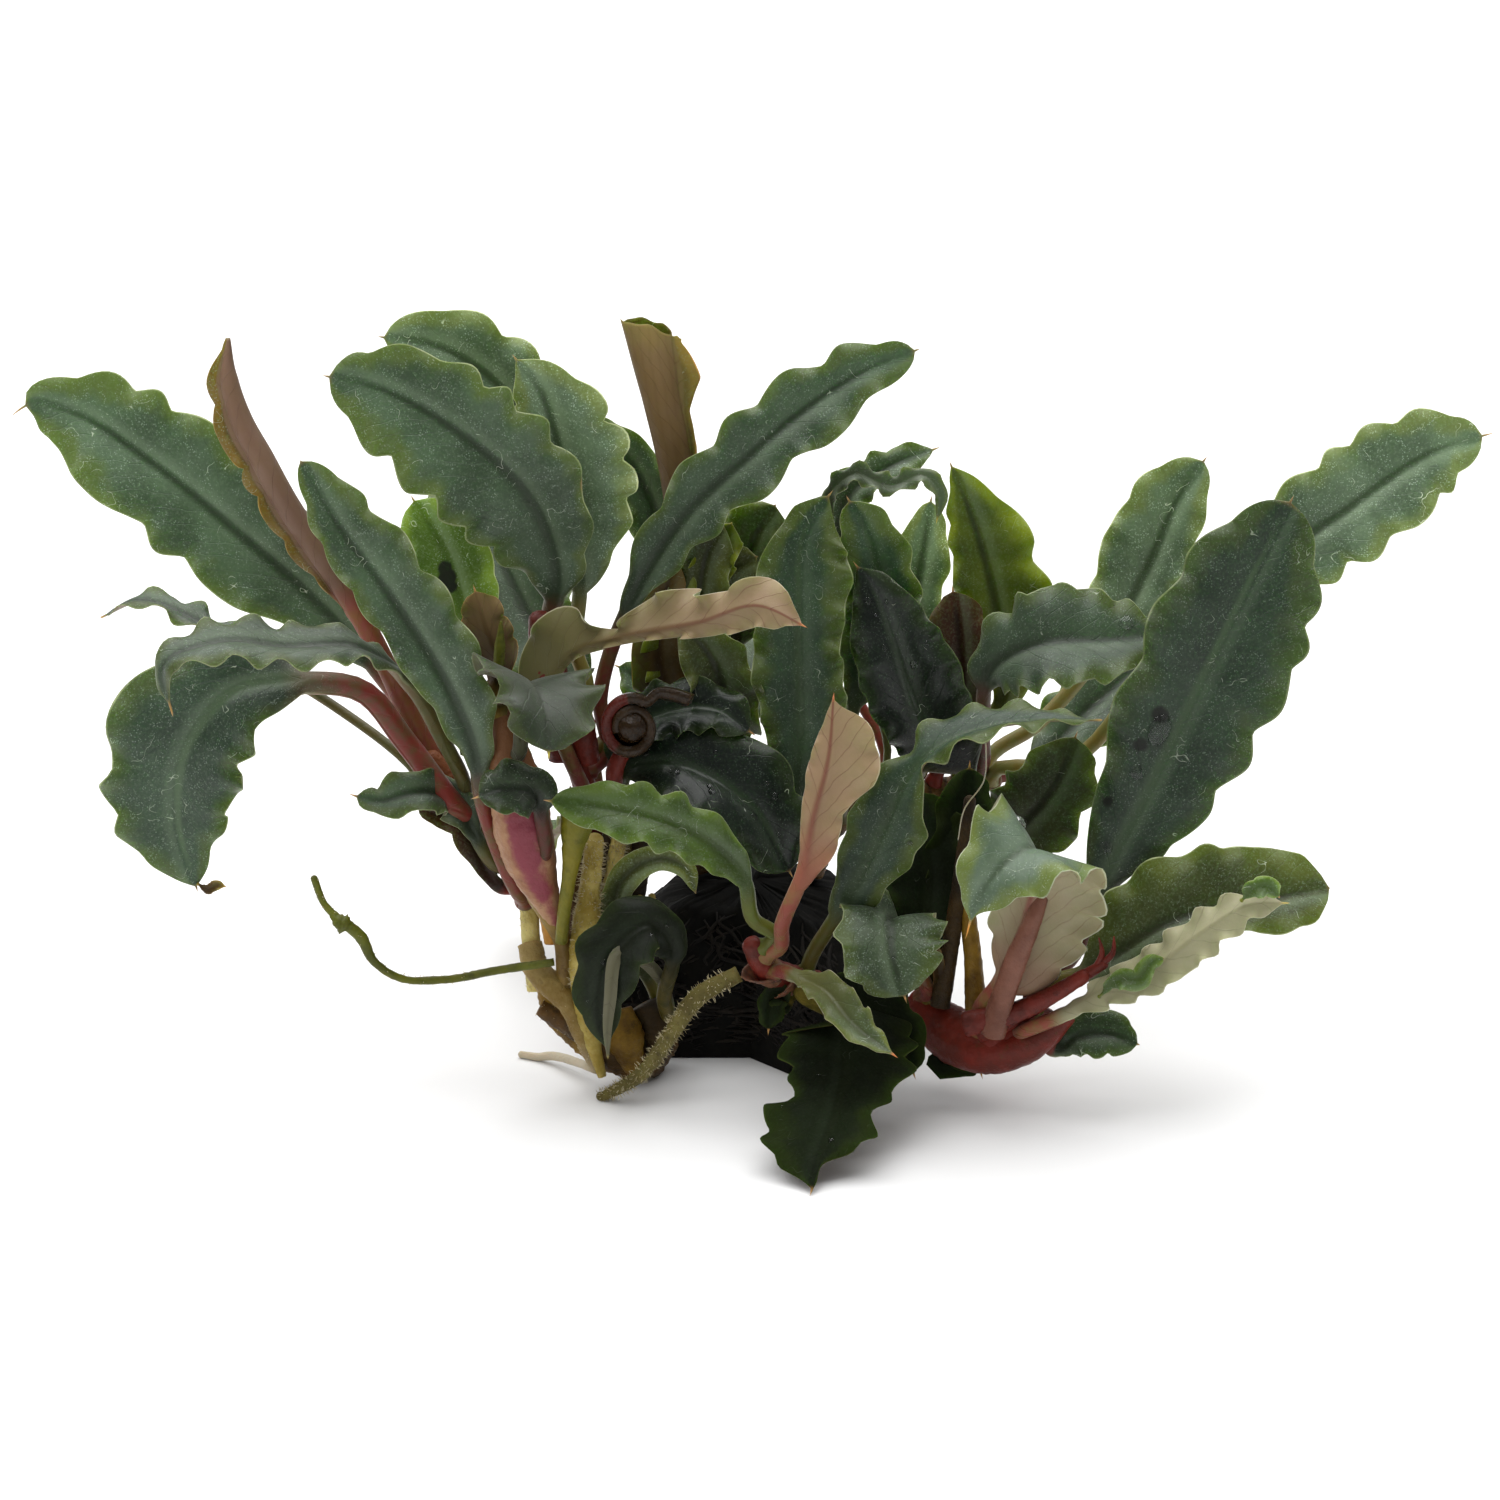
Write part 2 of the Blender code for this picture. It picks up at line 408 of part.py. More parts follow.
def right_crown_leaves():
    """The low red crown at the right and the great leaf above it."""
    leaf("leaf_right_great", "stem_right", 0.95, [(32, -21, -16.5), (35.2, -13, -15), (40.3, -3, -13),
         (45.1, 7, -11), (50.5, 18, -9), (54.4, 25.5, -7.5)], 0.22, 14.8, fold=7, lean=0.02, waves=9,
         wide=True, widest=0.62, colour=DARK_GREEN)
    leaf("leaf_right_low_round", "stem_right", 0.99, [(34, -22, -19), (42, -17.2, -19.5),
         (51, -15.1, -19), (58, -13.8, -18)], 0.2, 10.8, faces=[(0, -0.75, 0.65)], waves=6,
         colour=DARK_GREEN)
    leaf("leaf_right_crinkled", "stem_right", 0.86, [(31.5, -26.4, -22.5), (36, -23.8, -25),
         (41, -21.4, -26.5), (45.6, -18, -27), (50, -15.5, -27), (54, -15.3, -27)], 0.16, 4.6,
         faces=[(0, 0.6, -0.6)], waves=8, ripple=1.0, wide=True, colour=PALE_UNDERSIDE)
    leaf("leaf_small_oval", "stem_right", 0.94, [(32.5, -28.8, -18.4), (35.5, -28.4, -18.5),
         (39, -29.5, -19)], 0.1, 5, faces=[SLOPING], fold=5, waves=3, ripple=0.2)
    leaf("leaf_right_folded", "stem_right", 0.6, [(25.2, -23.5, -21), (26.8, -19.5, -22.2),
         (28.2, -14.5, -23.8), (29, -10.8, -26), (27.8, -9.8, -28.6), (25.2, -11.6, -30.8),
         (22.8, -15, -31.8), (21.5, -19, -32)], 0.16, 13, waves=6, wide=True, pointed=True, spike=2,
         faces=[AWAY, (0.1, 0.95, -0.1), (0.4, 0.6, 0.6), (0.3, -0.5, 0.8), (0.2, -0.9, 0.35)],
         colour=BLUE_GREEN)
    leaf("leaf_grey_drooping", "stem_right", 0.08, [(15, -19.5, -17), (14, -17.2, -22),
         (14.3, -20.7, -25), (15.7, -25.4, -27)], 0.42, 10.6, faces=[UP, SLOPING, VIEWER], waves=5)


def front_leaves():
    """The leaves of the short front stem."""
    leaf("leaf_front_twisted", "stem_front", 0.25, [(8.4, -17, -19), (11, -12.5, -19.8),
         (13.4, -7.6, -20.3), (15.6, -3.2, -20.5), (18.8, 0.2, -20.2), (23, 2, -19.5), (28.5, 2.9, -18.5),
         (35.3, 3, -17.5)], 0.16, 8.8, faces=[VIEWER, VIEWER, UP, (0, 0.1, 1)], waves=8, wide=True,
         colour=BLUE_GREEN)
    leaf("leaf_pale_upright", "stem_front", 0.88, [(3.2, -17.5, -24), (5.2, -12.5, -24.5),
         (6.3, -7, -24.5), (7.8, -1, -24), (8.4, 5.8, -23)], 0.3, 7.2, faces=[AWAY], fold=18,
         lean=-0.3, waves=6, wide=True, colour=PALE_UNDERSIDE)
    leaf("leaf_front_arched", "stem_front", 0.95, [(0.4, -17, -22.5), (-0.6, -13, -23.2),
         (-3.6, -9.8, -24), (-7.2, -7.8, -24.7), (-11, -6.6, -25), (-15.5, -5.7, -25),
         (-20.7, -5, -24.5)], 0.24, 6, faces=[(0, -0.8, 0.6)], waves=6, colour=BRIGHT_GREEN)
    leaf("leaf_pale_strip", "stem_front", 0.7, [(4.5, -22.6, -24), (7.4, -24, -27), (10.3, -27.4, -30),
         (14.8, -30.8, -33)], 0.15, 4.2, pointed=True, faces=[SLOPING], bend=35, waves=5,
         colour=PALE_UNDERSIDE)
    leaf("leaf_lowest", "stem_front", 0.35, [(8.6, -26.5, -20.5), (9.6, -31, -26), (8.8, -36, -32.5),
         (7, -41, -38), (6, -44.6, -41)], 0.16, 13.2, faces=[UP], fold=3, waves=6, ripple=0.35,
         widest=0.42, colour=BLACK_GREEN)


def hidden_leaves():
    """The leaves behind the clump, which the front view doesn't show."""
    leaf("leaf_behind_left", "stem_dark_red", 0.6, [(-17, 4, 1), (-22, 13, 8), (-26, 21, 14),
         (-29, 26, 19), (-30, 28, 23)], 0.25, 11, faces=[(-0.3, -0.5, 0.8)], waves=6, wide=True)
    leaf("leaf_behind_middle", "stem_middle", 0.65, [(-3, 0, 8), (0, 6, 15), (1, 10, 22),
         (2, 10, 29), (3, 7, 36)], 0.22, 11, faces=[(0, -0.3, 0.95), (0, 0.3, 0.95)], waves=6, wide=True)
    leaf("leaf_behind_right", "stem_back", 0.83, [(27, -2, 10), (35, 5, 16), (42, 11, 20),
         (48, 15, 23)], 0.25, 10, faces=[(0, -0.6, 0.8)], waves=6)
    leaf("leaf_behind_low", "stem_middle", 0.3, [(-9, -9, 8), (-14, -7, 16), (-19, -8, 23),
         (-23, -12, 29)], 0.22, 9.5, faces=[(0, -0.2, 0.95), (-0.2, 0.3, 0.9)], waves=6)


def curled_bud():
    """A young red leaf, still curled up like a snail shell, on the dark red stem."""
    centre = np.array([-12.2, 3.5])
    turn = np.linspace(0, 1.35 * math.tau, 12)
    size = np.linspace(2.9, 0.9, 12)
    path = [(-5.8, 5.4, -13), (-9.2, 6.4, -12.5)]
    for angle, radius in zip(turn, size):
        across = centre[0] + radius * math.sin(angle)
        rise = centre[1] + radius * math.cos(angle)
        path.append((across, rise, -12.2))
    stem("bud_curled_red", path[::-1], [0.8, 1.0, 0.9, 0.35], DARK_RED, steps=18, sides=5)


for old in list(bpy.data.objects):
    bpy.data.objects.remove(old)
root_mat()
stems()
left_leaves()
pink_stem_leaves()
dark_red_stem_leaves()
middle_leaves()
back_right_leaves()
right_crown_leaves()
front_leaves()
hidden_leaves()
curled_bud()
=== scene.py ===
"""Looks of the bucephalandra clump: finely shaped leaves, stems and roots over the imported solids.

Lengths are in millimetres until a mesh is made. A place is (across, rise, depth), as in part.py: across
and rise are read on a true-size view from the front, 20 degrees above level, and depth is the real
distance behind the root mat's middle. Stems and flat leaves stand in the same places as their solids.
"""

import math

import bpy
import numpy as np
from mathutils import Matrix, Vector


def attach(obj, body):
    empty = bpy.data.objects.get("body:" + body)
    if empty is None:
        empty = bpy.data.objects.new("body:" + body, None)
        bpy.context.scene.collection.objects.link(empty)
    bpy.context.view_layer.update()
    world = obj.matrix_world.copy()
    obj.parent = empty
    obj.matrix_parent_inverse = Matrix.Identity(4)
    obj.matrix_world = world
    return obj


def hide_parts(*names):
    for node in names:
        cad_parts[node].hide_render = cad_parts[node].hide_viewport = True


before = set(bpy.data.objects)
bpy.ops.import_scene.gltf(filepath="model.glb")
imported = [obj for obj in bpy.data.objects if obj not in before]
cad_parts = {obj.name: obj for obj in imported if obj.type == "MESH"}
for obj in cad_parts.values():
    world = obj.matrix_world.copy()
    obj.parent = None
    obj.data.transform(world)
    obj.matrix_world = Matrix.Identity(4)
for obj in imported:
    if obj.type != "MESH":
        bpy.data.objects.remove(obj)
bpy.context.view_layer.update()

MM = 0.001
VIEW_ELEVATION = math.radians(20)
VIEW_DISTANCE = 600
VIEW_MIDDLE_HEIGHT = 30.4
VIEW_WIDTH = 150
SENSOR_WIDTH = 36
LOWEST = 0.02

# Directions that a leaf's top can look in, and a level direction that few stems run along
VIEWER = (0, -0.94, 0.34)
AWAY = (0, 0.94, -0.34)
UP = (0, 0, 1)
SLOPING = (0, -0.7, 0.7)
CROSSWISE = (0.3, 1, 0.1)

# Stems: the mesh's step, the rounded end, and the ring scars
STEM_STATION = 0.35
STEM_BULGE = 0.8
STEM_END_TURNS = (0.5, 1.0, 1.35)
SCAR_WIDTH = 0.28
SCAR_RISE = 0.09

# Leaves: the stalk's start beside the stem, the blade's outline, and the fineness of the mesh
STEM_GAP = 0.35
STALK_REACH = 1.1
STALK_RISE = 0.5
PETIOLE_RADIUS = 0.75
WIDEST_AT = 0.52
SPIKE = 0.8
SPIKE_RADIUS = 0.12
STATION = 0.42
FEWEST_STATIONS = 30
STALK_STATIONS = 16
TIP_STATIONS = 4
SIDE_COLUMNS = 12
FACING_SPAN = 9
LEAF_SEED = 1000

# Relief of a leaf: its thickness, the side's arch, the ripples, and the midrib above and below
LEAF_THICKNESS = 0.2
ARCH = 0.14
SWELL = 0.28
SLIP = 0.06
FRILL = 0.22
FRILL_WAVES = (1.9, 2.6, 3.3)
MIDRIB_WIDTH = 0.55
KEEL = 0.3
GROOVE = 0.22

# Stems by name, as middles and radii, and leaves by name, as stations, columns, top and upward directions
STEMS = {}
SURFACES = {}


def place(across, rise, depth):
    """The point in space that shows at (across, rise) in the front view and lies at this depth."""
    eye_depth = -VIEW_DISTANCE * math.cos(VIEW_ELEVATION)
    eye_height = VIEW_MIDDLE_HEIGHT + VIEW_DISTANCE * math.sin(VIEW_ELEVATION)
    ray_depth = rise * math.sin(VIEW_ELEVATION) + VIEW_DISTANCE * math.cos(VIEW_ELEVATION)
    ray_height = rise * math.cos(VIEW_ELEVATION) - VIEW_DISTANCE * math.sin(VIEW_ELEVATION)
    reach = (depth - eye_depth) / ray_depth
    return np.array([reach * across, depth, eye_height + reach * ray_height])


def unit(vectors):
    """The vectors at length one."""
    return vectors / (np.linalg.norm(vectors, axis=-1, keepdims=True) + 1e-12)


def square_to(along, reference):
    """Two directions square to along and to each other, the first also square to the reference."""
    side = unit(np.cross(along, reference))
    return side, np.cross(side, along)


def path_length(points):
    """The length of the straight pieces between points."""
    return np.linalg.norm(np.diff(points, axis=0), axis=1).sum()


def distances(points):
    """How far along their path points lie."""
    return np.append(0, np.cumsum(np.linalg.norm(np.diff(points, axis=0), axis=1)))


def read_at(wanted, known, points):
    """Points at the wanted positions, between points at the known positions."""
    return np.stack([np.interp(wanted, known, axis) for axis in np.transpose(points)], axis=-1)


def smooth_path(points, fractions):
    """Points at the given fractions of the length of a smooth curve through points."""
    points = np.asarray(points, float)
    knots = distances(points)
    slopes = np.gradient(points, knots, axis=0)
    fine = np.linspace(0, knots[-1], 60 * len(points))
    left = np.clip(np.searchsorted(knots, fine, side="right") - 1, 0, len(knots) - 2)
    step = (knots[left + 1] - knots[left])[:, None]
    t = (fine - knots[left])[:, None] / step
    curve = (1 + 2 * t) * (1 - t) ** 2 * points[left] + t * (1 - t) ** 2 * step * slopes[left]
    curve += t * t * (3 - 2 * t) * points[left + 1] - t * t * (1 - t) * step * slopes[left + 1]
    length = distances(curve)
    return read_at(np.asarray(fractions) * length[-1], length, curve)


def wander(values, rng, waves=(1.3, 2.7, 4.1, 6.3)):
    """A smooth random curve of size about one, read at the values, which run from 0 to 1."""
    total = np.zeros_like(values, dtype=float)
    for wave in waves:
        total += rng.uniform(0.6, 1) / wave ** 0.6 * np.sin(math.tau * (wave * values + rng.random()))
    return total


# Materials. Colours are 8-bit display values, and the scales of noise are per metre


def linear(display):
    """A colour's linear values from its display values."""
    return tuple(c / 255 / 12.92 if c <= 10 else ((c / 255 + 0.055) / 1.055) ** 2.4 for c in display)


class Value:
    """A node's output, with which sums are written as they are read."""

    def __init__(self, look, socket):
        self.look = look
        self.socket = socket

    def __add__(self, other):
        return self.look.math("ADD", self, other)

    def __sub__(self, other):
        return self.look.math("SUBTRACT", self, other)

    def __rsub__(self, other):
        return self.look.math("SUBTRACT", other, self)

    def __mul__(self, other):
        return self.look.math("MULTIPLY", self, other)

    def __abs__(self):
        return self.look.math("ABSOLUTE", self)


class Look:
    """A procedural material under construction."""

    def __init__(self, name):
        self.material = bpy.data.materials.new(name)
        self.material.use_nodes = True
        self.nodes = self.material.node_tree.nodes
        self.links = self.material.node_tree.links
        self.shader = self.nodes["Principled BSDF"]
        self.position = self.nodes.new("ShaderNodeTexCoord").outputs["Object"]

    def put(self, socket, value):
        """Links or sets one input."""
        if isinstance(value, Value):
            self.links.new(value.socket, socket)
        elif socket.type == "RGBA":
            socket.default_value = (*linear(value), 1)
        else:
            socket.default_value = value

    def attribute(self, name):
        """The number of this name that a mesh holds at each of its points."""
        node = self.nodes.new("ShaderNodeAttribute")
        node.attribute_name = name
        return Value(self, node.outputs["Fac"])

    def math(self, operation, *values):
        """One step of arithmetic."""
        node = self.nodes.new("ShaderNodeMath")
        node.operation = operation
        for socket, value in zip(node.inputs, values):
            self.put(socket, value)
        return Value(self, node.outputs[0])

    def ramp(self, value, low, high, start=0.0, end=1.0):
        """The value eased from start to end as it goes from low to high."""
        node = self.nodes.new("ShaderNodeMapRange")
        node.interpolation_type = "SMOOTHSTEP"
        for socket, number in zip(node.inputs, (value, low, high, start, end)):
            self.put(socket, number)
        return Value(self, node.outputs[0])

    def mix(self, share, first, second, blend="MIX"):
        """The first colour with this share of the second."""
        node = self.nodes.new("ShaderNodeMix")
        node.data_type = "RGBA"
        node.blend_type = blend
        for index, value in ((0, share), (6, first), (7, second)):
            self.put(node.inputs[index], value)
        return Value(self, node.outputs[2])

    def noise(self, scale, detail=2.0, roughness=0.5):
        """Clouds from 0 to 1."""
        node = self.nodes.new("ShaderNodeTexNoise")
        self.links.new(self.position, node.inputs["Vector"])
        node.inputs["Scale"].default_value = scale
        node.inputs["Detail"].default_value = detail
        node.inputs["Roughness"].default_value = roughness
        return Value(self, node.outputs["Fac"])

    def cells(self, scale):
        """The distance from the nearest of many scattered points."""
        node = self.nodes.new("ShaderNodeTexVoronoi")
        self.links.new(self.position, node.inputs["Vector"])
        node.inputs["Scale"].default_value = scale
        return Value(self, node.outputs["Distance"])

    def bump(self, height, distance, strength=1.0):
        """A normal that a fine relief turns."""
        node = self.nodes.new("ShaderNodeBump")
        node.inputs["Strength"].default_value = strength
        node.inputs["Distance"].default_value = distance
        self.put(node.inputs["Height"], height)
        return Value(self, node.outputs["Normal"])

    def set(self, **values):
        """Sets or links inputs of the shader, whose names have underscores for spaces."""
        for name, value in values.items():
            self.put(self.shader.inputs[name.replace("_", " ")], value)


GREY_SPECK = (168, 184, 168)
GREY_BLOOM = (128, 146, 118)
GREY_FLANK = (132, 148, 122)
PALE_SCRATCH = (196, 204, 184)
DAMAGED_SPOT = (178, 118, 62)
DARK_SPOT = (14, 18, 8)
WORN_SKIN = (206, 198, 178)


def leaf_look(
    name, top, deep, margin, under, rib, stalk, rim=(150, 158, 118), rough=0.42, wet=False,
    margin_from=0.58, margin_share=0.85, speck=0.32, rib_share=0.75, vein=(110, 62, 46),
    tip=(176, 132, 84), keel_share=0.6, vein_share=0.22, stripes=0.0, foot=None, foot_to=0.5,
    sheen=0.06, scratch=0.5, shine=0.3, patch=0.62, frost=1.0,
):
    """A leaf: speckled top with a changed margin and a thin pale rim, veined underside, stalk and dry tip."""
    look = Look(name)
    u = look.attribute("along")
    v = abs(look.attribute("across"))
    x = look.attribute("side")
    away = abs(x)
    below = look.ramp(look.attribute("under"), 0.35, 0.65)
    broad = look.noise(160, 3)
    clouds = look.noise(420, 4, 0.6)
    fine = look.noise(3600, 2, 0.6)

    colour = look.mix(look.ramp(broad, 0.3, 0.72), deep, top)
    uneven = v + (clouds - 0.5) * 0.55 + (broad - 0.5) * 0.7 + look.ramp(u, 0.6, 1.0, 0.0, 0.35)
    at_margin = look.ramp(uneven, margin_from, margin_from + 0.42, 0.0, margin_share)
    colour = look.mix(at_margin, colour, margin)
    specks = look.ramp(look.cells(4500), 0.14, 0.4, 1.0, 0.0)
    specks = specks * look.ramp(look.noise(900, 3, 0.7), 0.4, 0.62) * (speck * frost)
    colour = look.mix(specks, colour, GREY_SPECK)
    colour = look.mix(look.ramp(fine, 0.4, 0.8, 0.0, 0.14 * frost), colour, GREY_BLOOM)
    midrib = look.ramp(away, (1.15 - u) * 0.1, (1.25 - u) * 1.15, rib_share, 0.0)
    colour = look.mix(midrib * look.ramp(u, 0.8, 1.0, 1.0, 0.0), colour, rib)
    flank = look.ramp(x, 0.35, 0.7) * look.ramp(x, 1.9, 0.8)
    colour = look.mix(flank * (0.16 * frost), colour, GREY_FLANK)
    bent = look.attribute("reach") - away * 1.5 + look.noise(300, 2) * 2.6
    side_veins = look.ramp(abs(look.math("SINE", bent * 1.25)), 0.0, 0.16, 1.0, 0.0)
    colour = look.mix(side_veins * 0.1, colour, deep)
    scratches = look.ramp(abs(look.noise(620, 1, 0.3) - 0.5), 0.002, 0.007, 1.0, 0.0)
    scratches = scratches * look.ramp(look.noise(390, 2), 0.6, 0.64)
    colour = look.mix(scratches * scratch, colour, PALE_SCRATCH)
    mark = look.attribute("mark")
    colour = look.mix(look.ramp(mark, 0.25, 0.6), colour, DAMAGED_SPOT)
    # Dark marks; on the bright back leaf they are painted shade seen through holes that the mesh doesn't cut
    colour = look.mix(look.ramp(mark, -0.25, -0.5), colour, DARK_SPOT)

    reddened = look.mix(0.5, vein, under)
    beneath = look.mix(look.ramp(clouds, 0.3, 0.7), under, look.mix(0.25, under, margin))
    beneath = look.mix(look.ramp(broad, 0.62, 0.4, 0.0, 0.3), beneath, reddened)
    beneath = look.mix(look.ramp(away, 0.2, 3.2, 0.45, 0.0), beneath, reddened)
    beneath = look.mix(side_veins * vein_share, beneath, vein)
    lines = look.math("SINE", (x + clouds * 0.8) * 7.0)
    beneath = look.mix(look.ramp(lines, 0.2, 1.0, 0.0, stripes), beneath, vein)
    beneath = look.mix(look.ramp(away, 0.05, (1.2 - u) * 0.7, keel_share, 0.0), beneath, vein)
    colour = look.mix(below, colour, beneath)
    if foot:
        colour = look.mix(look.ramp(u, 0.05, foot_to, 0.9, 0.0), colour, foot)
    edge = look.ramp(v, 0.968, 0.99) * look.ramp(clouds, 0.35, 0.65, 0.25, 0.75)
    colour = look.mix(edge, colour, rim)

    streaks = look.ramp(look.noise(700, 3, 0.6), 0.35, 0.7)
    stalk_colour = look.mix(streaks, stalk, look.mix(0.55, stalk, margin))
    colour = look.mix(look.attribute("stalk"), colour, stalk_colour)
    # Per-leaf factor on the colour: a small random spread by default; where a leaf is given its own value it
    # is painted light and shade, lighter for leaves that face up into the light and for leaves that glow with
    # light through them, darker for shaded ones; across a rolled leaf it is painted light and shade round the
    # roll
    colour = look.mix(1.0, colour, look.attribute("tone"), "MULTIPLY")
    colour = look.mix(look.ramp(u, 0.985, 1.03), colour, tip)

    roughness = look.ramp(clouds, 0.3, 0.75, rough - 0.07, rough + 0.09)
    if wet:
        patches = look.ramp(look.noise(300, 3, 0.6), patch, patch + 0.04)
        roughness = look.mix(patches, roughness * 0.6, roughness)
    height = fine * 0.3 + clouds * 0.9 - side_veins * 0.3 + side_veins * below * 0.8
    look.set(
        Base_Color=colour, Roughness=roughness + below * 0.12,
        Normal=look.bump(height, 0.00012, 0.35 if wet else 0.6), Specular_IOR_Level=shine,
        Subsurface_Weight=0.14, Subsurface_Scale=0.0012, Subsurface_Radius=(0.6, 1.0, 0.3),
        Coat_Weight=0.1 if wet else 0.0, Coat_Roughness=0.3, Sheen_Weight=sheen, Sheen_Roughness=0.5,
    )
    return look.material


def stem_look(
    name, first, second, dark, rough=0.45, hairy=0.0, upper=None, rise=(0.4, 0.65), painted_facing_colour=None,
):
    """A stem or root: streaks along it, darker scars, a fine grain, and another colour higher up."""
    look = Look(name)
    streaks = look.noise(260, 4, 0.65)
    grain = look.noise(2600, 3, 0.6)
    colour = look.mix(look.ramp(streaks, 0.32, 0.68), first, second)
    if upper:
        colour = look.mix(look.ramp(look.attribute("share"), *rise), colour, upper)
    # Painted shading: this colour lies on the lower stem where it faces the viewer, so the sides, seen at a
    # slant, stay paler than the front
    if painted_facing_colour:
        middle = look.ramp(look.attribute("facing") + streaks * 0.5, 0.98, 1.16)
        low_part = look.ramp(look.attribute("share"), 0.55, 0.72, 1.0, 0.0)
        colour = look.mix(middle * low_part, colour, painted_facing_colour)
    colour = look.mix(look.ramp(look.attribute("scar"), 0.35, 0.9) * 0.6, colour, dark)
    colour = look.mix(look.ramp(look.noise(620, 3, 0.7), 0.58, 0.72, 0.0, 0.5), colour, dark)
    look.set(
        Base_Color=look.mix(look.attribute("pale"), colour, WORN_SKIN),
        Roughness=look.ramp(grain, 0.3, 0.7, rough - 0.08, rough + 0.12),
        Normal=look.bump(grain * (0.5 + hairy) + streaks, 0.00025, 0.7), Specular_IOR_Level=0.25,
        Subsurface_Weight=0.2, Subsurface_Scale=0.0015, Subsurface_Radius=(1.0, 0.5, 0.3),
    )
    return look.material


def plain_look(name, colour, second, rough, scale=900, **values):
    """A simple mottled surface."""
    look = Look(name)
    spots = look.noise(scale, 3, 0.6)
    look.set(
        Base_Color=look.mix(look.ramp(spots, 0.3, 0.7), colour, second), Roughness=rough,
        Normal=look.bump(spots, 0.0003, 0.6), **values,
    )
    return look.material


def water_look():
    """Clear water."""
    look = Look("water")
    look.set(Base_Color=(255, 255, 255), Roughness=0.02, IOR=1.33, Transmission_Weight=1.0)
    return look.material


# Leaves are top, deeper top, margin, underside, midrib and stalk. Stems are two colours and a dark one
RED_STALK = (112, 42, 34)
PINK_STALK = (128, 62, 48)
OLIVE_STALK = (84, 74, 28)
GREEN_STALK = (84, 86, 22)

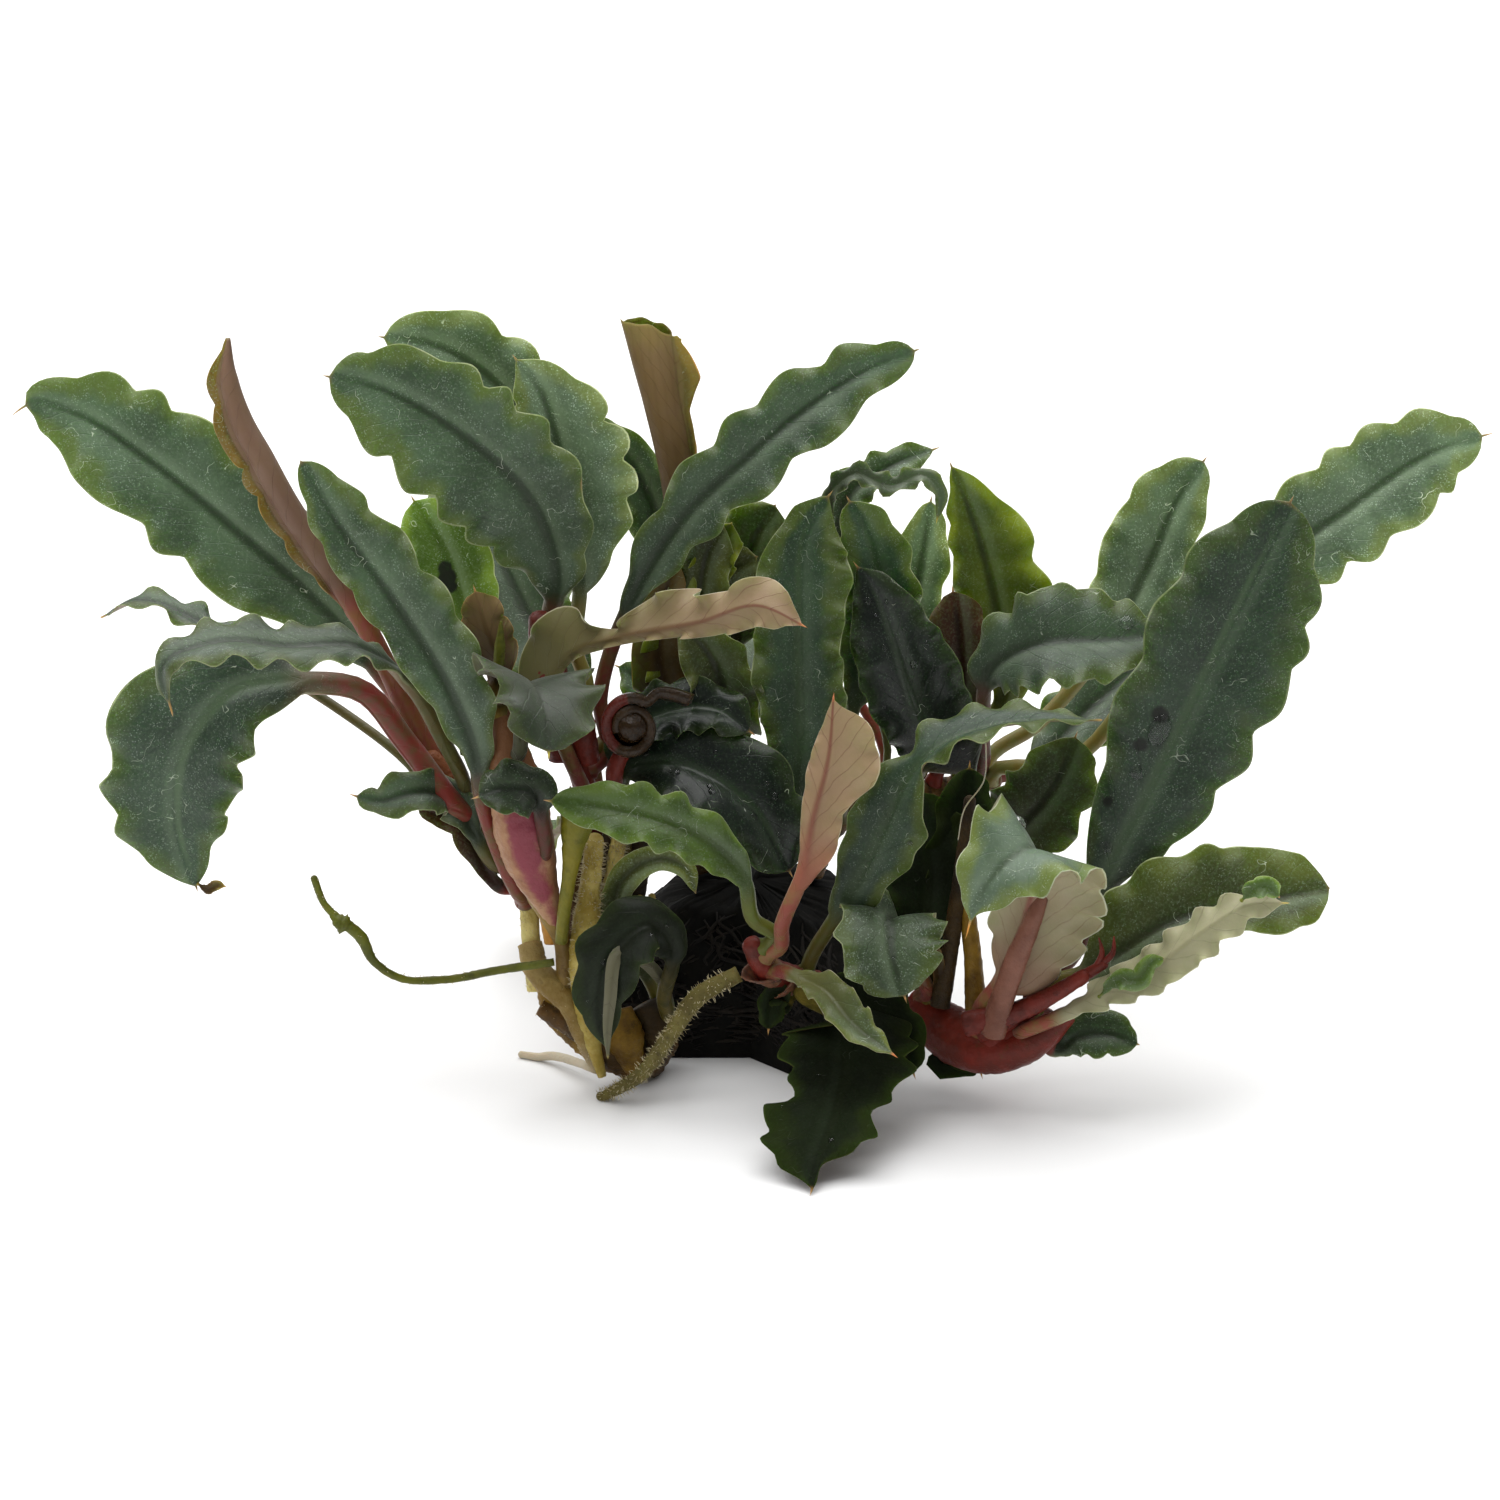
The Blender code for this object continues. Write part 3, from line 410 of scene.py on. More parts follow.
LOOKS = {
    "blue_green": leaf_look("blue green leaf", (68, 86, 63), (47, 61, 43), (74, 86, 34), (120, 112, 76),
        (26, 38, 18), RED_STALK),
    "green": leaf_look("green leaf", (58, 72, 48), (40, 52, 32), (64, 76, 26), (118, 108, 70),
        (24, 34, 16), RED_STALK),
    "light_rib": leaf_look("dark leaf with a pale midrib", (52, 67, 52), (35, 48, 36), (62, 72, 32),
        (118, 108, 72), (84, 102, 74), RED_STALK, rib_share=0.6, shine=0.3),
    "olive": leaf_look("olive leaf", (78, 88, 8), (52, 60, 4), (102, 112, 14), (116, 116, 44),
        (26, 30, 6), GREEN_STALK, speck=0.1, scratch=0.2, sheen=0.0, shine=0.2),
    "bright": leaf_look("bright green leaf", (68, 90, 24), (48, 66, 15), (86, 106, 32), (116, 122, 48),
        (38, 54, 12), GREEN_STALK, speck=0.2, rib_share=0.5),
    "black": leaf_look("wet dark leaf", (22, 30, 23), (12, 18, 14), (30, 40, 16), (52, 48, 26),
        (52, 64, 46), OLIVE_STALK, rim=(88, 98, 68), rough=0.4, wet=True, speck=0.3, rib_share=0.5,
        sheen=0.0, shine=0.22, frost=0.3, patch=0.66),
    # Its top has the near-black colours of the leaf in deep shade: a dark leaf darkened further by painted
    # shade
    "darkest_stripe": leaf_look("dark leaf in deep shade with a pale fold", (17, 24, 9), (9, 13, 4), (28, 36, 8),
        (120, 116, 88), (30, 36, 20), OLIVE_STALK, rim=(60, 66, 40), rough=0.5, speck=0.06, rib_share=0.2,
        sheen=0.0, shine=0.2, scratch=0.05, frost=0.15),
    "grey_green": leaf_look("grey green leaf", (70, 84, 64), (48, 60, 44), (76, 84, 42), (118, 110, 76),
        (30, 40, 22), OLIVE_STALK),
    "olive_blue": leaf_look("long centre leaf", (54, 72, 52), (36, 52, 36), (78, 88, 30), (118, 108, 72),
        (72, 88, 50), OLIVE_STALK, rib_share=0.3, margin_from=0.45, margin_share=0.7, shine=0.22,
        frost=0.7, sheen=0.0),
    # A copy of the blue green leaf with its top painted lighter: painted sheen for a leaf top that faces up
    # into the light. Its underside, foot, keel and tip keep their own colours
    "blue_green_lit": leaf_look("folded leaf painted lighter", (92, 108, 90), (66, 82, 62), (96, 108, 40),
        (150, 142, 114), (58, 72, 50), PINK_STALK, rim=(190, 196, 170), vein=(124, 70, 58),
        keel_share=0.9, foot=(128, 100, 78), foot_to=0.2, tip=(214, 142, 58)),
    "darkest": leaf_look("leaf in deep shade", (17, 24, 9), (9, 13, 4), (28, 36, 8), (34, 32, 14),
        (24, 30, 12), OLIVE_STALK, rim=(50, 58, 26), rough=0.7, speck=0.06, rib_share=0.25, sheen=0.0,
        shine=0.06, scratch=0.05, frost=0.1),
    "pale": leaf_look("leaf seen from beneath", (78, 90, 54), (58, 70, 38), (104, 112, 46),
        (162, 138, 106), (54, 62, 28), PINK_STALK, rim=(200, 192, 160), tip=(206, 120, 70),
        vein=(112, 60, 46), vein_share=0.4, keel_share=0.8, foot=(138, 78, 58), foot_to=0.45),
    "pale_olive": leaf_look("pale leaf with an olive foot", (78, 90, 54), (58, 70, 38), (104, 112, 46),
        (158, 136, 104), (54, 62, 28), RED_STALK, rim=(200, 192, 160), tip=(206, 120, 70),
        vein=(112, 60, 46), vein_share=0.4, keel_share=0.7, foot=(92, 92, 46), foot_to=0.85),
    "pale_grey": leaf_look("grey leaf seen from beneath", (70, 86, 50), (40, 54, 26), (96, 106, 46),
        (158, 154, 124), (54, 62, 28), PINK_STALK, rim=(190, 188, 158), tip=(190, 160, 70),
        vein=(90, 84, 52), vein_share=0.2, keel_share=0.25),
    "pale_top": leaf_look("pale grey green leaf", (92, 104, 76), (66, 80, 52), (98, 108, 58),
        (128, 122, 84), (70, 82, 52), GREEN_STALK, rim=(158, 164, 124), tip=(190, 170, 60), rib_share=0.3,
        sheen=0.15),
    "brown": leaf_look("brown leaf", (110, 88, 40), (84, 66, 28), (130, 104, 46), (128, 104, 70),
        (44, 30, 12), OLIVE_STALK, rim=(186, 134, 78), speck=0.12, vein=(70, 50, 26), stripes=0.1,
        keel_share=0.3, foot=(44, 30, 14), foot_to=1.3, shine=0.2, sheen=0.0),
    "dark_brown": leaf_look("dark red brown leaf", (62, 28, 12), (38, 18, 8), (56, 38, 12), (62, 38, 20),
        (26, 14, 8), RED_STALK, rim=(84, 60, 30), speck=0.06, sheen=0.0, shine=0.2, scratch=0.0),
    "pink_brown": leaf_look("rolled leaf", (84, 66, 16), (62, 44, 10), (112, 84, 22), (124, 98, 80),
        (80, 50, 22), PINK_STALK, rim=(156, 122, 52), margin_from=0.3, vein=(84, 54, 40),
        tip=(208, 170, 96), stripes=0.06, keel_share=0.0, foot=(70, 38, 24), foot_to=0.75),
    "cup": leaf_look("olive leaf in shade", (56, 62, 20), (38, 42, 12), (80, 86, 26), (96, 92, 44),
        (24, 28, 8), OLIVE_STALK, speck=0.15, margin_share=0.5, shine=0.25),
}
STEM_LOOKS = {
    "stalk_pink": stem_look("pink leaf stalk", (124, 82, 66), (98, 60, 46), (90, 46, 36), 0.4),
    "fibre": stem_look("pale fibre", (196, 192, 170), (160, 152, 122), (120, 110, 80), 0.6),
    "red": stem_look("red stem", (108, 38, 28), (72, 26, 18), (40, 16, 10)),
    "pink": stem_look("pink stem", (132, 108, 52), (98, 76, 32), (56, 34, 14), upper=(112, 66, 46),
        rise=(0.4, 0.6)),
    "yellow": stem_look("yellow stem", (196, 184, 116), (148, 128, 56), (78, 52, 18), 0.55, 0.5,
        upper=(118, 68, 36)),
    "pale": stem_look("pale stem", (192, 176, 104), (142, 122, 48), (70, 46, 16), 0.5, 0.5),
    # The magenta on the sheath's front is painted shading by direction to the viewer, over the sheath's own
    # beige and pink
    "sheath": stem_look("pink sheath", (162, 124, 92), (132, 88, 60), (96, 52, 34), 0.4,
        upper=(112, 76, 48), rise=(0.62, 0.8), painted_facing_colour=(126, 56, 66)),
    "crown": stem_look("crown base", (118, 36, 24), (84, 30, 18), (70, 52, 16), 0.4),
    "orange": stem_look("orange scale", (176, 128, 50), (140, 88, 30), (80, 50, 18)),
    "yellow_green": stem_look("yellow green stalk", (116, 108, 26), (92, 92, 18), (66, 66, 12)),
    "yellow_low": stem_look("brown yellow root", (128, 98, 26), (88, 64, 16), (46, 30, 8), 0.5, 0.5),
    "brown": stem_look("brown stem", (92, 64, 20), (58, 40, 12), (28, 18, 7), 0.55, 0.5),
    "dark": stem_look("dark stem", (58, 42, 14), (32, 23, 8), (14, 10, 4), 0.6, 0.5),
    "bud": stem_look("curled bud", (52, 36, 17), (32, 21, 9), (14, 9, 5), 0.3, upper=(80, 28, 20),
        rise=(0.42, 0.62)),
    "hood": stem_look("hood of the bud", (50, 34, 15), (28, 18, 8), (12, 8, 4), 0.25),
    "olive": stem_look("olive stalk", (92, 96, 24), (66, 70, 16), (38, 34, 10), 0.45),
    "root": stem_look("root", (108, 100, 50), (76, 68, 30), (48, 36, 12), 0.6, 0.6),
    "pale_root": stem_look("pale root", (150, 130, 80), (114, 92, 42), (64, 46, 18), 0.6, 0.6),
}
LEAF_SLOTS = {
    "blue_green": "leaf_blue_green", "olive_blue": "leaf_blue_green", "blue_green_lit": "leaf_blue_green",
    "bright": "leaf_bright", "olive": "leaf_olive", "cup": "leaf_olive",
    "black": "leaf_black_green", "darkest": "leaf_black_green", "darkest_stripe": "leaf_black_green",
    "brown": "leaf_brown", "dark_brown": "leaf_brown", "pink_brown": "leaf_pink_brown",
    "pale": "leaf_underside", "pale_olive": "leaf_underside", "pale_grey": "leaf_underside",
}
STEM_SLOTS = {
    "red": "stem_red", "pink": "stem_red", "crown": "stem_red", "sheath": "stem_red", "bud": "stem_red",
    "hood": "stem_red", "brown": "leaf_brown", "olive": "leaf_olive", "yellow_green": "leaf_olive",
}
# The root mass and its fine roots are near black: their own dark brown deepened by painted shade inside the
# clump
SHADED_ROOT_MASS_LOOK = plain_look("root mass", (11, 10, 6), (4, 4, 3), 0.9, 700, Specular_IOR_Level=0.2)
SHADED_FIBRE_LOOK = plain_look("fine roots", (26, 20, 11), (9, 7, 4), 0.8, 500, Specular_IOR_Level=0.3)
HAIR_LOOK = plain_look("root hairs", (212, 202, 168), (158, 142, 96), 0.7)
SHEATH_LOOK = plain_look(
    "dry sheath", (112, 72, 46), (62, 38, 22), 0.6, 800, Subsurface_Weight=0.2, Subsurface_Scale=0.001)
WATER_LOOK = water_look()


# Meshes


def made(name, points, faces, look, values=None):
    """A smooth object that rides on the plant, from points in millimetres with values of their own.

    It stands in for the solid that has its name without the ending, if there is one.
    """
    points = np.asarray(points, float)
    points[:, 2] = np.maximum(points[:, 2], LOWEST)
    triangles = np.array([(f[0], f[i], f[i + 1]) for f in faces for i in range(1, len(f) - 1)])
    a, b, c = (points[triangles[:, k]] for k in range(3))
    if np.einsum("ij,ij->i", a, np.cross(b, c)).sum() < 0:
        faces = [tuple(f)[::-1] for f in faces]
    mesh = bpy.data.meshes.new(name)
    mesh.from_pydata((points * MM).tolist(), [], [tuple(int(i) for i in f) for f in faces])
    for key, numbers in (values or {}).items():
        layer = mesh.attributes.new(key, "FLOAT", "POINT")
        layer.data.foreach_set("value", np.asarray(numbers, np.float32))
    mesh.shade_smooth()
    mesh.materials.append(look)
    piece = bpy.data.objects.new(name, mesh)
    bpy.context.scene.collection.objects.link(piece)
    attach(piece, "root")
    node = name.removesuffix("_shape")
    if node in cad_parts:
        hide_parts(node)
    return piece


def lofted(rings, tip):
    """Points and faces of a closed solid through rings, flat at the first and pointed at tip."""
    rings = np.asarray(rings, float)
    steps, sides = rings.shape[:2]
    index = np.arange(steps * sides).reshape(steps, sides)
    after = np.roll(index, -1, axis=1)
    quads = np.stack([index[:-1], after[:-1], after[1:], index[1:]], axis=-1).reshape(-1, 4)
    fan = np.stack([index[-1], after[-1], np.full(sides, steps * sides)], axis=-1)
    points = np.concatenate([rings.reshape(-1, 3), [tip]])
    return points, [tuple(index[0][::-1])] + [tuple(q) for q in quads] + [tuple(t) for t in fan]


def sheet(name, outer, inner, look, slot, outer_values, inner_values):
    """A closed thin sheet between two grids of points, station by station and column by column."""
    rows, columns = outer.shape[:2]
    count = rows * columns
    index = np.arange(count).reshape(rows, columns)
    corners = [index[:-1, :-1], index[:-1, 1:], index[1:, 1:], index[1:, :-1]]
    quads = np.stack(corners, axis=-1).reshape(-1, 4)
    border = np.concatenate([index[0, :-1], index[:-1, -1], index[-1, :0:-1], index[:0:-1, 0]])
    faces = [tuple(q) for q in quads] + [tuple(q[::-1] + count) for q in quads]
    faces += [(b, a, a + count, b + count) for a, b in zip(border, np.roll(border, -1))]
    values = {key: np.append(outer_values[key], inner_values[key]) for key in outer_values}
    points = np.concatenate([outer.reshape(-1, 3), inner.reshape(-1, 3)])
    return made(name, points, faces, look, values)


def thread(path, radius, sides=5):
    """Points and faces of a thin tapering thread along a path."""
    along = unit(np.gradient(path, axis=0))
    side, front = square_to(along, (0.31, 0.22, 0.92))
    angles = np.arange(sides) * math.tau / sides
    taper = np.interp(np.linspace(0, 1, len(path)), [0, 0.15, 0.8, 1], [0.4, 1, 0.8, 0.2])
    rings = path[:, None] + radius * taper[:, None, None] * (
        np.cos(angles)[None, :, None] * side[:, None] + np.sin(angles)[None, :, None] * front[:, None]
    )
    return lofted(rings, path[-1] + along[-1] * radius)


def joined(name, groups, look):
    """One object from many (points, faces) groups."""
    points, faces, start = [], [], 0
    for group_points, group_faces in groups:
        points.append(group_points)
        faces += [tuple(i + start for i in face) for face in group_faces]
        start += len(group_points)
    return made(name, np.concatenate(points), faces, look)


def course(path, radii, steps):
    """Middles and radii at even steps along a stem, kept above the ground."""
    fractions = np.linspace(0, 1, steps + 1)
    centres = smooth_path([place(*p) for p in path], fractions)
    sizes = np.interp(fractions, np.linspace(0, 1, len(radii)), radii)
    centres[:, 2] = np.maximum(centres[:, 2], sizes)
    return centres, sizes


def tube(centres, sizes, sides, bumps, rings_every, rng):
    """Uneven rings round a stem's middles, with a scar value for each ring."""
    fractions = np.linspace(0, 1, len(centres))
    side, front = square_to(unit(np.gradient(centres, axis=0)), CROSSWISE)
    angles = np.arange(sides) * math.tau / sides
    scar = np.zeros(len(centres))
    if rings_every:
        spots = np.cumsum(rng.uniform(0.7, 1.3, 40) * rings_every)
        scar = np.exp(-((distances(centres)[:, None] - spots[None]) / SCAR_WIDTH) ** 2).max(axis=1)
    lump = wander(angles / math.tau * 0.25, rng, (1, 2))
    # Four random draws are passed over before the later ones
    rng.random(4)
    rough = 1 + bumps * (
        0.5 * wander(fractions, rng, (3, 7, 13))[:, None] + 0.35 * rng.standard_normal((len(centres), sides))
        + 0.4 * lump[None] * np.sin(fractions * 9)[:, None]
    ) + SCAR_RISE * scar[:, None]
    rough[:, -1] = rough[:, 0] * 0.5 + rough[:, -1] * 0.5
    spread = sizes[:, None] * rough
    rings = (
        centres[:, None]
        + (spread * np.cos(angles))[..., None] * side[:, None]
        + (spread * np.sin(angles))[..., None] * front[:, None]
    )
    return rings, scar


def stem(
    name, path, radii, look, slot=None, steps=8, sides=18, bumps=0.06, rings_every=0.0, pale=None,
):
    """A stem or root. The stem that leaves find is the same as the solid's."""
    STEMS[name] = course(path, radii, steps)
    fine = max(16, int(path_length(STEMS[name][0]) / STEM_STATION))
    centres, sizes = course(path, radii, fine)
    rings, scar = tube(centres, sizes, sides, bumps, rings_every, np.random.default_rng(len(STEMS)))
    # How much each point faces the viewer, which places the painted shading on the sheath
    facing = unit(rings - centres[:, None]) @ unit(np.array(VIEWER, float))
    bulge = unit(centres[-1] - centres[-2]) * sizes[-1] * STEM_BULGE
    ends = [
        centres[-1] + (rings[-1] - centres[-1]) * math.cos(turn) + bulge * math.sin(turn)
        for turn in STEM_END_TURNS
    ]
    points, faces = lofted(np.concatenate([rings, ends]), centres[-1] + bulge)
    added = len(ends)
    share = np.append(np.linspace(0, 1, fine + 1), [1] * added)
    whiten = np.interp(share, *pale) if pale else share * 0
    values = {
        "scar": np.append(np.repeat(np.append(scar, [0] * added), sides), 0),
        "pale": np.append(np.repeat(whiten, sides), whiten[-1]),
        "facing": np.append(np.append(facing, facing[-1:].repeat(added, 0)), 0),
        "share": np.append(np.repeat(share, sides), 1),
    }
    slot = slot or STEM_SLOTS.get(look, "root_yellow")
    return made(name + "_shape", points, faces, STEM_LOOKS[look], values)


def on_stem(stem_name, share):
    """A stem's middle, radius and direction at a share of its steps."""
    centres, sizes = STEMS[stem_name]
    position = share * (len(centres) - 1)
    steps = np.arange(len(centres))
    nearest = min(int(position), len(centres) - 2)
    along = unit(centres[nearest + 1] - centres[nearest])
    return read_at(position, steps, centres), np.interp(position, steps, sizes), along


def leaf_base(stem_name, at, toward, following):
    """The stem's middle, and the two points that start a leaf beside it. A fold on a leaf has no stem."""
    if stem_name is None:
        return toward - (following - toward) * 0.1, toward * 0, []
    centre, radius, along = on_stem(stem_name, at)
    outward = toward - centre
    outward = unit(outward - along * (outward @ along))
    start = centre + outward * (radius + STEM_GAP)
    return centre, along, [start, start + outward * STALK_REACH + along * STALK_RISE]


def leaf_stations(length, blade, blade_end):
    """Fractions of a leaf's length at which its mesh has points: on the stalk, the blade and the spike."""
    blade_steps = max(FEWEST_STATIONS, int(length * (blade_end - blade) / STATION))
    return np.concatenate([
        blade * np.linspace(0, 1, STALK_STATIONS, endpoint=False),
        blade + (blade_end - blade) * np.linspace(0, 1, blade_steps + 1),
        blade_end + (1 - blade_end) * np.linspace(0, 1, TIP_STATIONS + 1)[1:-1],
    ])


def leaf_facing(faces, fractions):
    """The way that a leaf's top looks at the fractions of its length, turning through faces."""
    facing = read_at(fractions, np.linspace(0, 1, len(faces)), np.asarray(faces, float))
    if len(faces) > 2:
        kernel = np.ones(FACING_SPAN) / FACING_SPAN
        margin = FACING_SPAN // 2
        padded = np.pad(facing, ((margin, margin), (0, 0)), mode="edge")
        facing = np.column_stack([np.convolve(padded[:, axis], kernel, "valid") for axis in range(3)])
    return facing


def blade_width(u, pointed, widest):
    """A leaf blade's half width along its length, as a share of the widest."""
    before = np.clip(u / widest, 0, 1)
    after = np.clip((u - widest) / (1 - widest), 0, 1)
    base = (1 - (1 - before) ** 2.2) ** 0.9
    return base * ((1 - after ** 1.9) ** 0.85 if pointed else (1 - after ** 2.6) ** 0.6)


def through(values, fractions):
    """A smooth curve through values at even steps, read at the fractions of its length."""
    position = np.clip(fractions * (len(values) - 1), 0, len(values) - 1 - 1e-9)
    before = position.astype(int)
    part = position - before
    ends = np.pad(np.array(values, float), 1, mode="reflect", reflect_type="odd")
    a, b, c, d = (ends[before + k] for k in range(4))
    return b + 0.5 * part * (c - a + part * (2 * a - 5 * b + 4 * c - d + part * (3 * (b - c) + d - a)))


def half_width(sign, plain, inside, waves, scallop, notches, widths, rng):
    """Half widths along one side of a blade: rounded lobes with notches between them.

    Plain is the half width without lobes. Notches are their places from the blade's base (0) to its
    tip (1), and widths are half widths at even steps in place of plain.
    """
    phase = waves * inside + 0.25 * sign + 0.18 * wander(inside, rng, (1.1, 2.3, 3.9))
    if notches:
        phase = np.interp(inside, [0, *notches, 1], [0, *np.arange(0.5, len(notches)), len(notches)])
    if widths:
        plain = through(widths, inside) * np.clip((1 - inside) * 14, 0, 1) ** 0.5
    lobes = np.abs(np.cos(math.pi * phase)) ** 1.3
    depth = 0.5 + 0.5 * np.clip(0.6 + 0.5 * wander(inside, rng, (2.1, 4.7)), 0.2, 1.4)
    return plain * (1 + 0.7 * scallop - 2.8 * scallop * depth * (1 - lobes))


def leaf(
    name, stem_name, at, spine, blade, width, faces=(VIEWER,), fold=12, bend=0, lean=0.0, waves=7,
    ripple=0.7, scallop=0.09, pointed=False, widest=WIDEST_AT, spike=SPIKE, petiole=PETIOLE_RADIUS,
    look="green", slot=None, sides=(1, 1), notches=((), ()), widths=((), ()), marks=(), tone=None,
):
    """One leaf with its stalk. The first arguments are those of the same leaf in part.py.

    Sides, notches and widths are for the right and the left side, see half_width. Marks are places
    (u, v, radius, strength) that are damaged, or dark where strength is below zero.
    """
    rng = np.random.default_rng(LEAF_SEED + len(SURFACES))
    places = [place(*p) for p in spine]
    centre, stem_along, base = leaf_base(stem_name, at, places[0], places[1])
    path = base + places
    length = path_length(path)
    blade_end = 1 - spike / length
    fractions = leaf_stations(length, blade, blade_end)
    centres = smooth_path(path, np.append(fractions, 1))
    tip = centres[-1]
    along = unit(np.gradient(centres, axis=0))[:-1]
    centres = centres[:-1]
    rightward, upper = square_to(along, leaf_facing(faces, fractions))

    u = np.clip((fractions - blade) / (blade_end - blade), 0, None)
    inside = np.clip(u, 0, 1)
    share = np.where(u > 1, 0, blade_width(inside, pointed, widest))
    stalk = petiole * (1 - inside) + SPIKE_RADIUS * inside
    stalk = np.where(u > 1, SPIKE_RADIUS * (1.15 - (u - 1) / (u[-1] - 1 + 1e-9)), stalk)
    opened = np.clip((fractions - blade * 0.8) / (blade * 0.2), 0, 1)
    curl = math.radians(bend) * share + 1e-6

    slip = SLIP * wander(inside, rng) / waves ** 0.5
    swell = 1 + SWELL * wander(inside, rng)
    beats = {sign: sign * np.cos(math.tau * waves * (inside + sign * slip * 0.5)) for sign in (1, -1)}
    frill_waves = [waves * wave for wave in FRILL_WAVES]
    frills = {sign: FRILL * wander(inside, rng, frill_waves) for sign in (1, -1)}
    halves = {
        sign: half_width(sign, 0.5 * width * (1 + sign * lean) * factor * share, inside, waves, scallop,
                         own_notches, own_widths, rng)
        for sign, factor, own_notches, own_widths in zip((1, -1), sides, notches, widths)
    }
    t = np.linspace(1, -1, 2 * SIDE_COLUMNS + 1)
    v = t * (1.4 - 0.4 * t * t)
    columns = []
    for v_now in v:
        sign = 1 if v_now >= 0 else -1
        size = abs(v_now)
        sized = halves[sign] * opened
        reach = np.maximum(stalk, sized)
        x = reach * np.sin(v_now * curl) / curl
        lift = reach * (1 - np.cos(v_now * curl)) / curl
        lift += np.abs(x) * math.tan(math.radians(fold)) * share
        lift += beats[sign] * ripple * share * swell * (0.25 * size ** 2 + 0.75 * size ** 4)
        lift += frills[sign] * ripple * share * size ** 5 * 1.1
        lift += ARCH * sized * (size - size ** 2.4) * 1.6 * share
        columns.append((v_now, x, lift))
    blend = np.clip(inside * 5, 0, 1)
    body = np.maximum(LEAF_THICKNESS * (1 - 0.45 * inside), stalk * (1 - 4.5 * inside))

    def surface(face, rib):
        """The top's or the underside's points, station by station and from right to left."""
        points = []
        for v_now, x, lift in columns:
            round_side = math.sqrt(max(0, 1 - v_now * v_now))
            flat_side = 0.3 + 0.7 * (1 - abs(v_now) ** 4)
            height = body * (round_side * (1 - blend) + flat_side * blend)
            height = height + rib * (np.exp(-(x / MIDRIB_WIDTH) ** 2) * (1 - inside) ** 0.7 * blend)
            points.append(centres + x[:, None] * rightward + (lift + face * height)[:, None] * upper)
        return np.stack(points, axis=1)

    top, bottom = surface(1, -GROOVE), surface(-1, KEEL)
    SURFACES[name] = (inside, v, top, upper)
    rings = np.concatenate([top, bottom[:, ::-1]], axis=1)
    roots = []
    for step, grow in ((-0.9, 0.9), (-0.4, 1.5)):
        moved = centres[0] + (centres[0] - centre) * step + stem_along * 0.35 * step
        roots.append(moved + (rings[0] - centres[0]) * grow)
    points, mesh_faces = lofted(np.concatenate([roots, rings]), tip)

    count = rings.shape[1]
    root_u = np.append([0, 0], u)
    root_fractions = np.append([0, 0], fractions)
    side = np.column_stack([np.append([0, 0], x) for _, x, _ in columns])
    side = np.concatenate([side, side[:, ::-1]], axis=1)
    on_stalk = np.append([1, 1], np.clip(1 - (fractions - blade * 0.8) / (blade * 0.35 + 1e-6), 0, 1))
    mark = np.zeros(side.shape)
    for mark_u, mark_v, radius, strength in marks:
        span = (root_fractions - (blade + (blade_end - blade) * mark_u)) * length
        across = side - mark_v * 0.5 * width
        spot = np.exp(-(span[:, None] ** 2 + across ** 2) / radius ** 2) * strength
        mark = np.where(np.abs(spot) > np.abs(mark), spot, mark)
    values = {
        "along": np.append(np.repeat(root_u, count), root_u[-1]),
        "across": np.append(np.tile(np.append(v, v[::-1]), len(root_u)), 0),
        "side": np.append(side, 0),
        "reach": np.append(np.repeat(root_fractions * length, count), length),
        "under": np.append(np.tile(np.repeat([0, 1], len(v)), len(root_u)), 0.5),
        "stalk": np.append(np.repeat(on_stalk, count), 0),
        # A leaf's own value is painted light and shade; without one the factor varies a little at random
        "tone": np.full(len(points), rng.uniform(0.92, 1.08) if tone is None else tone),
        "mark": np.append(mark, 0),
    }
    slot = slot or LEAF_SLOTS.get(look, "leaf_green")
    return made(name + "_shape", points, mesh_faces, LOOKS[look], values)


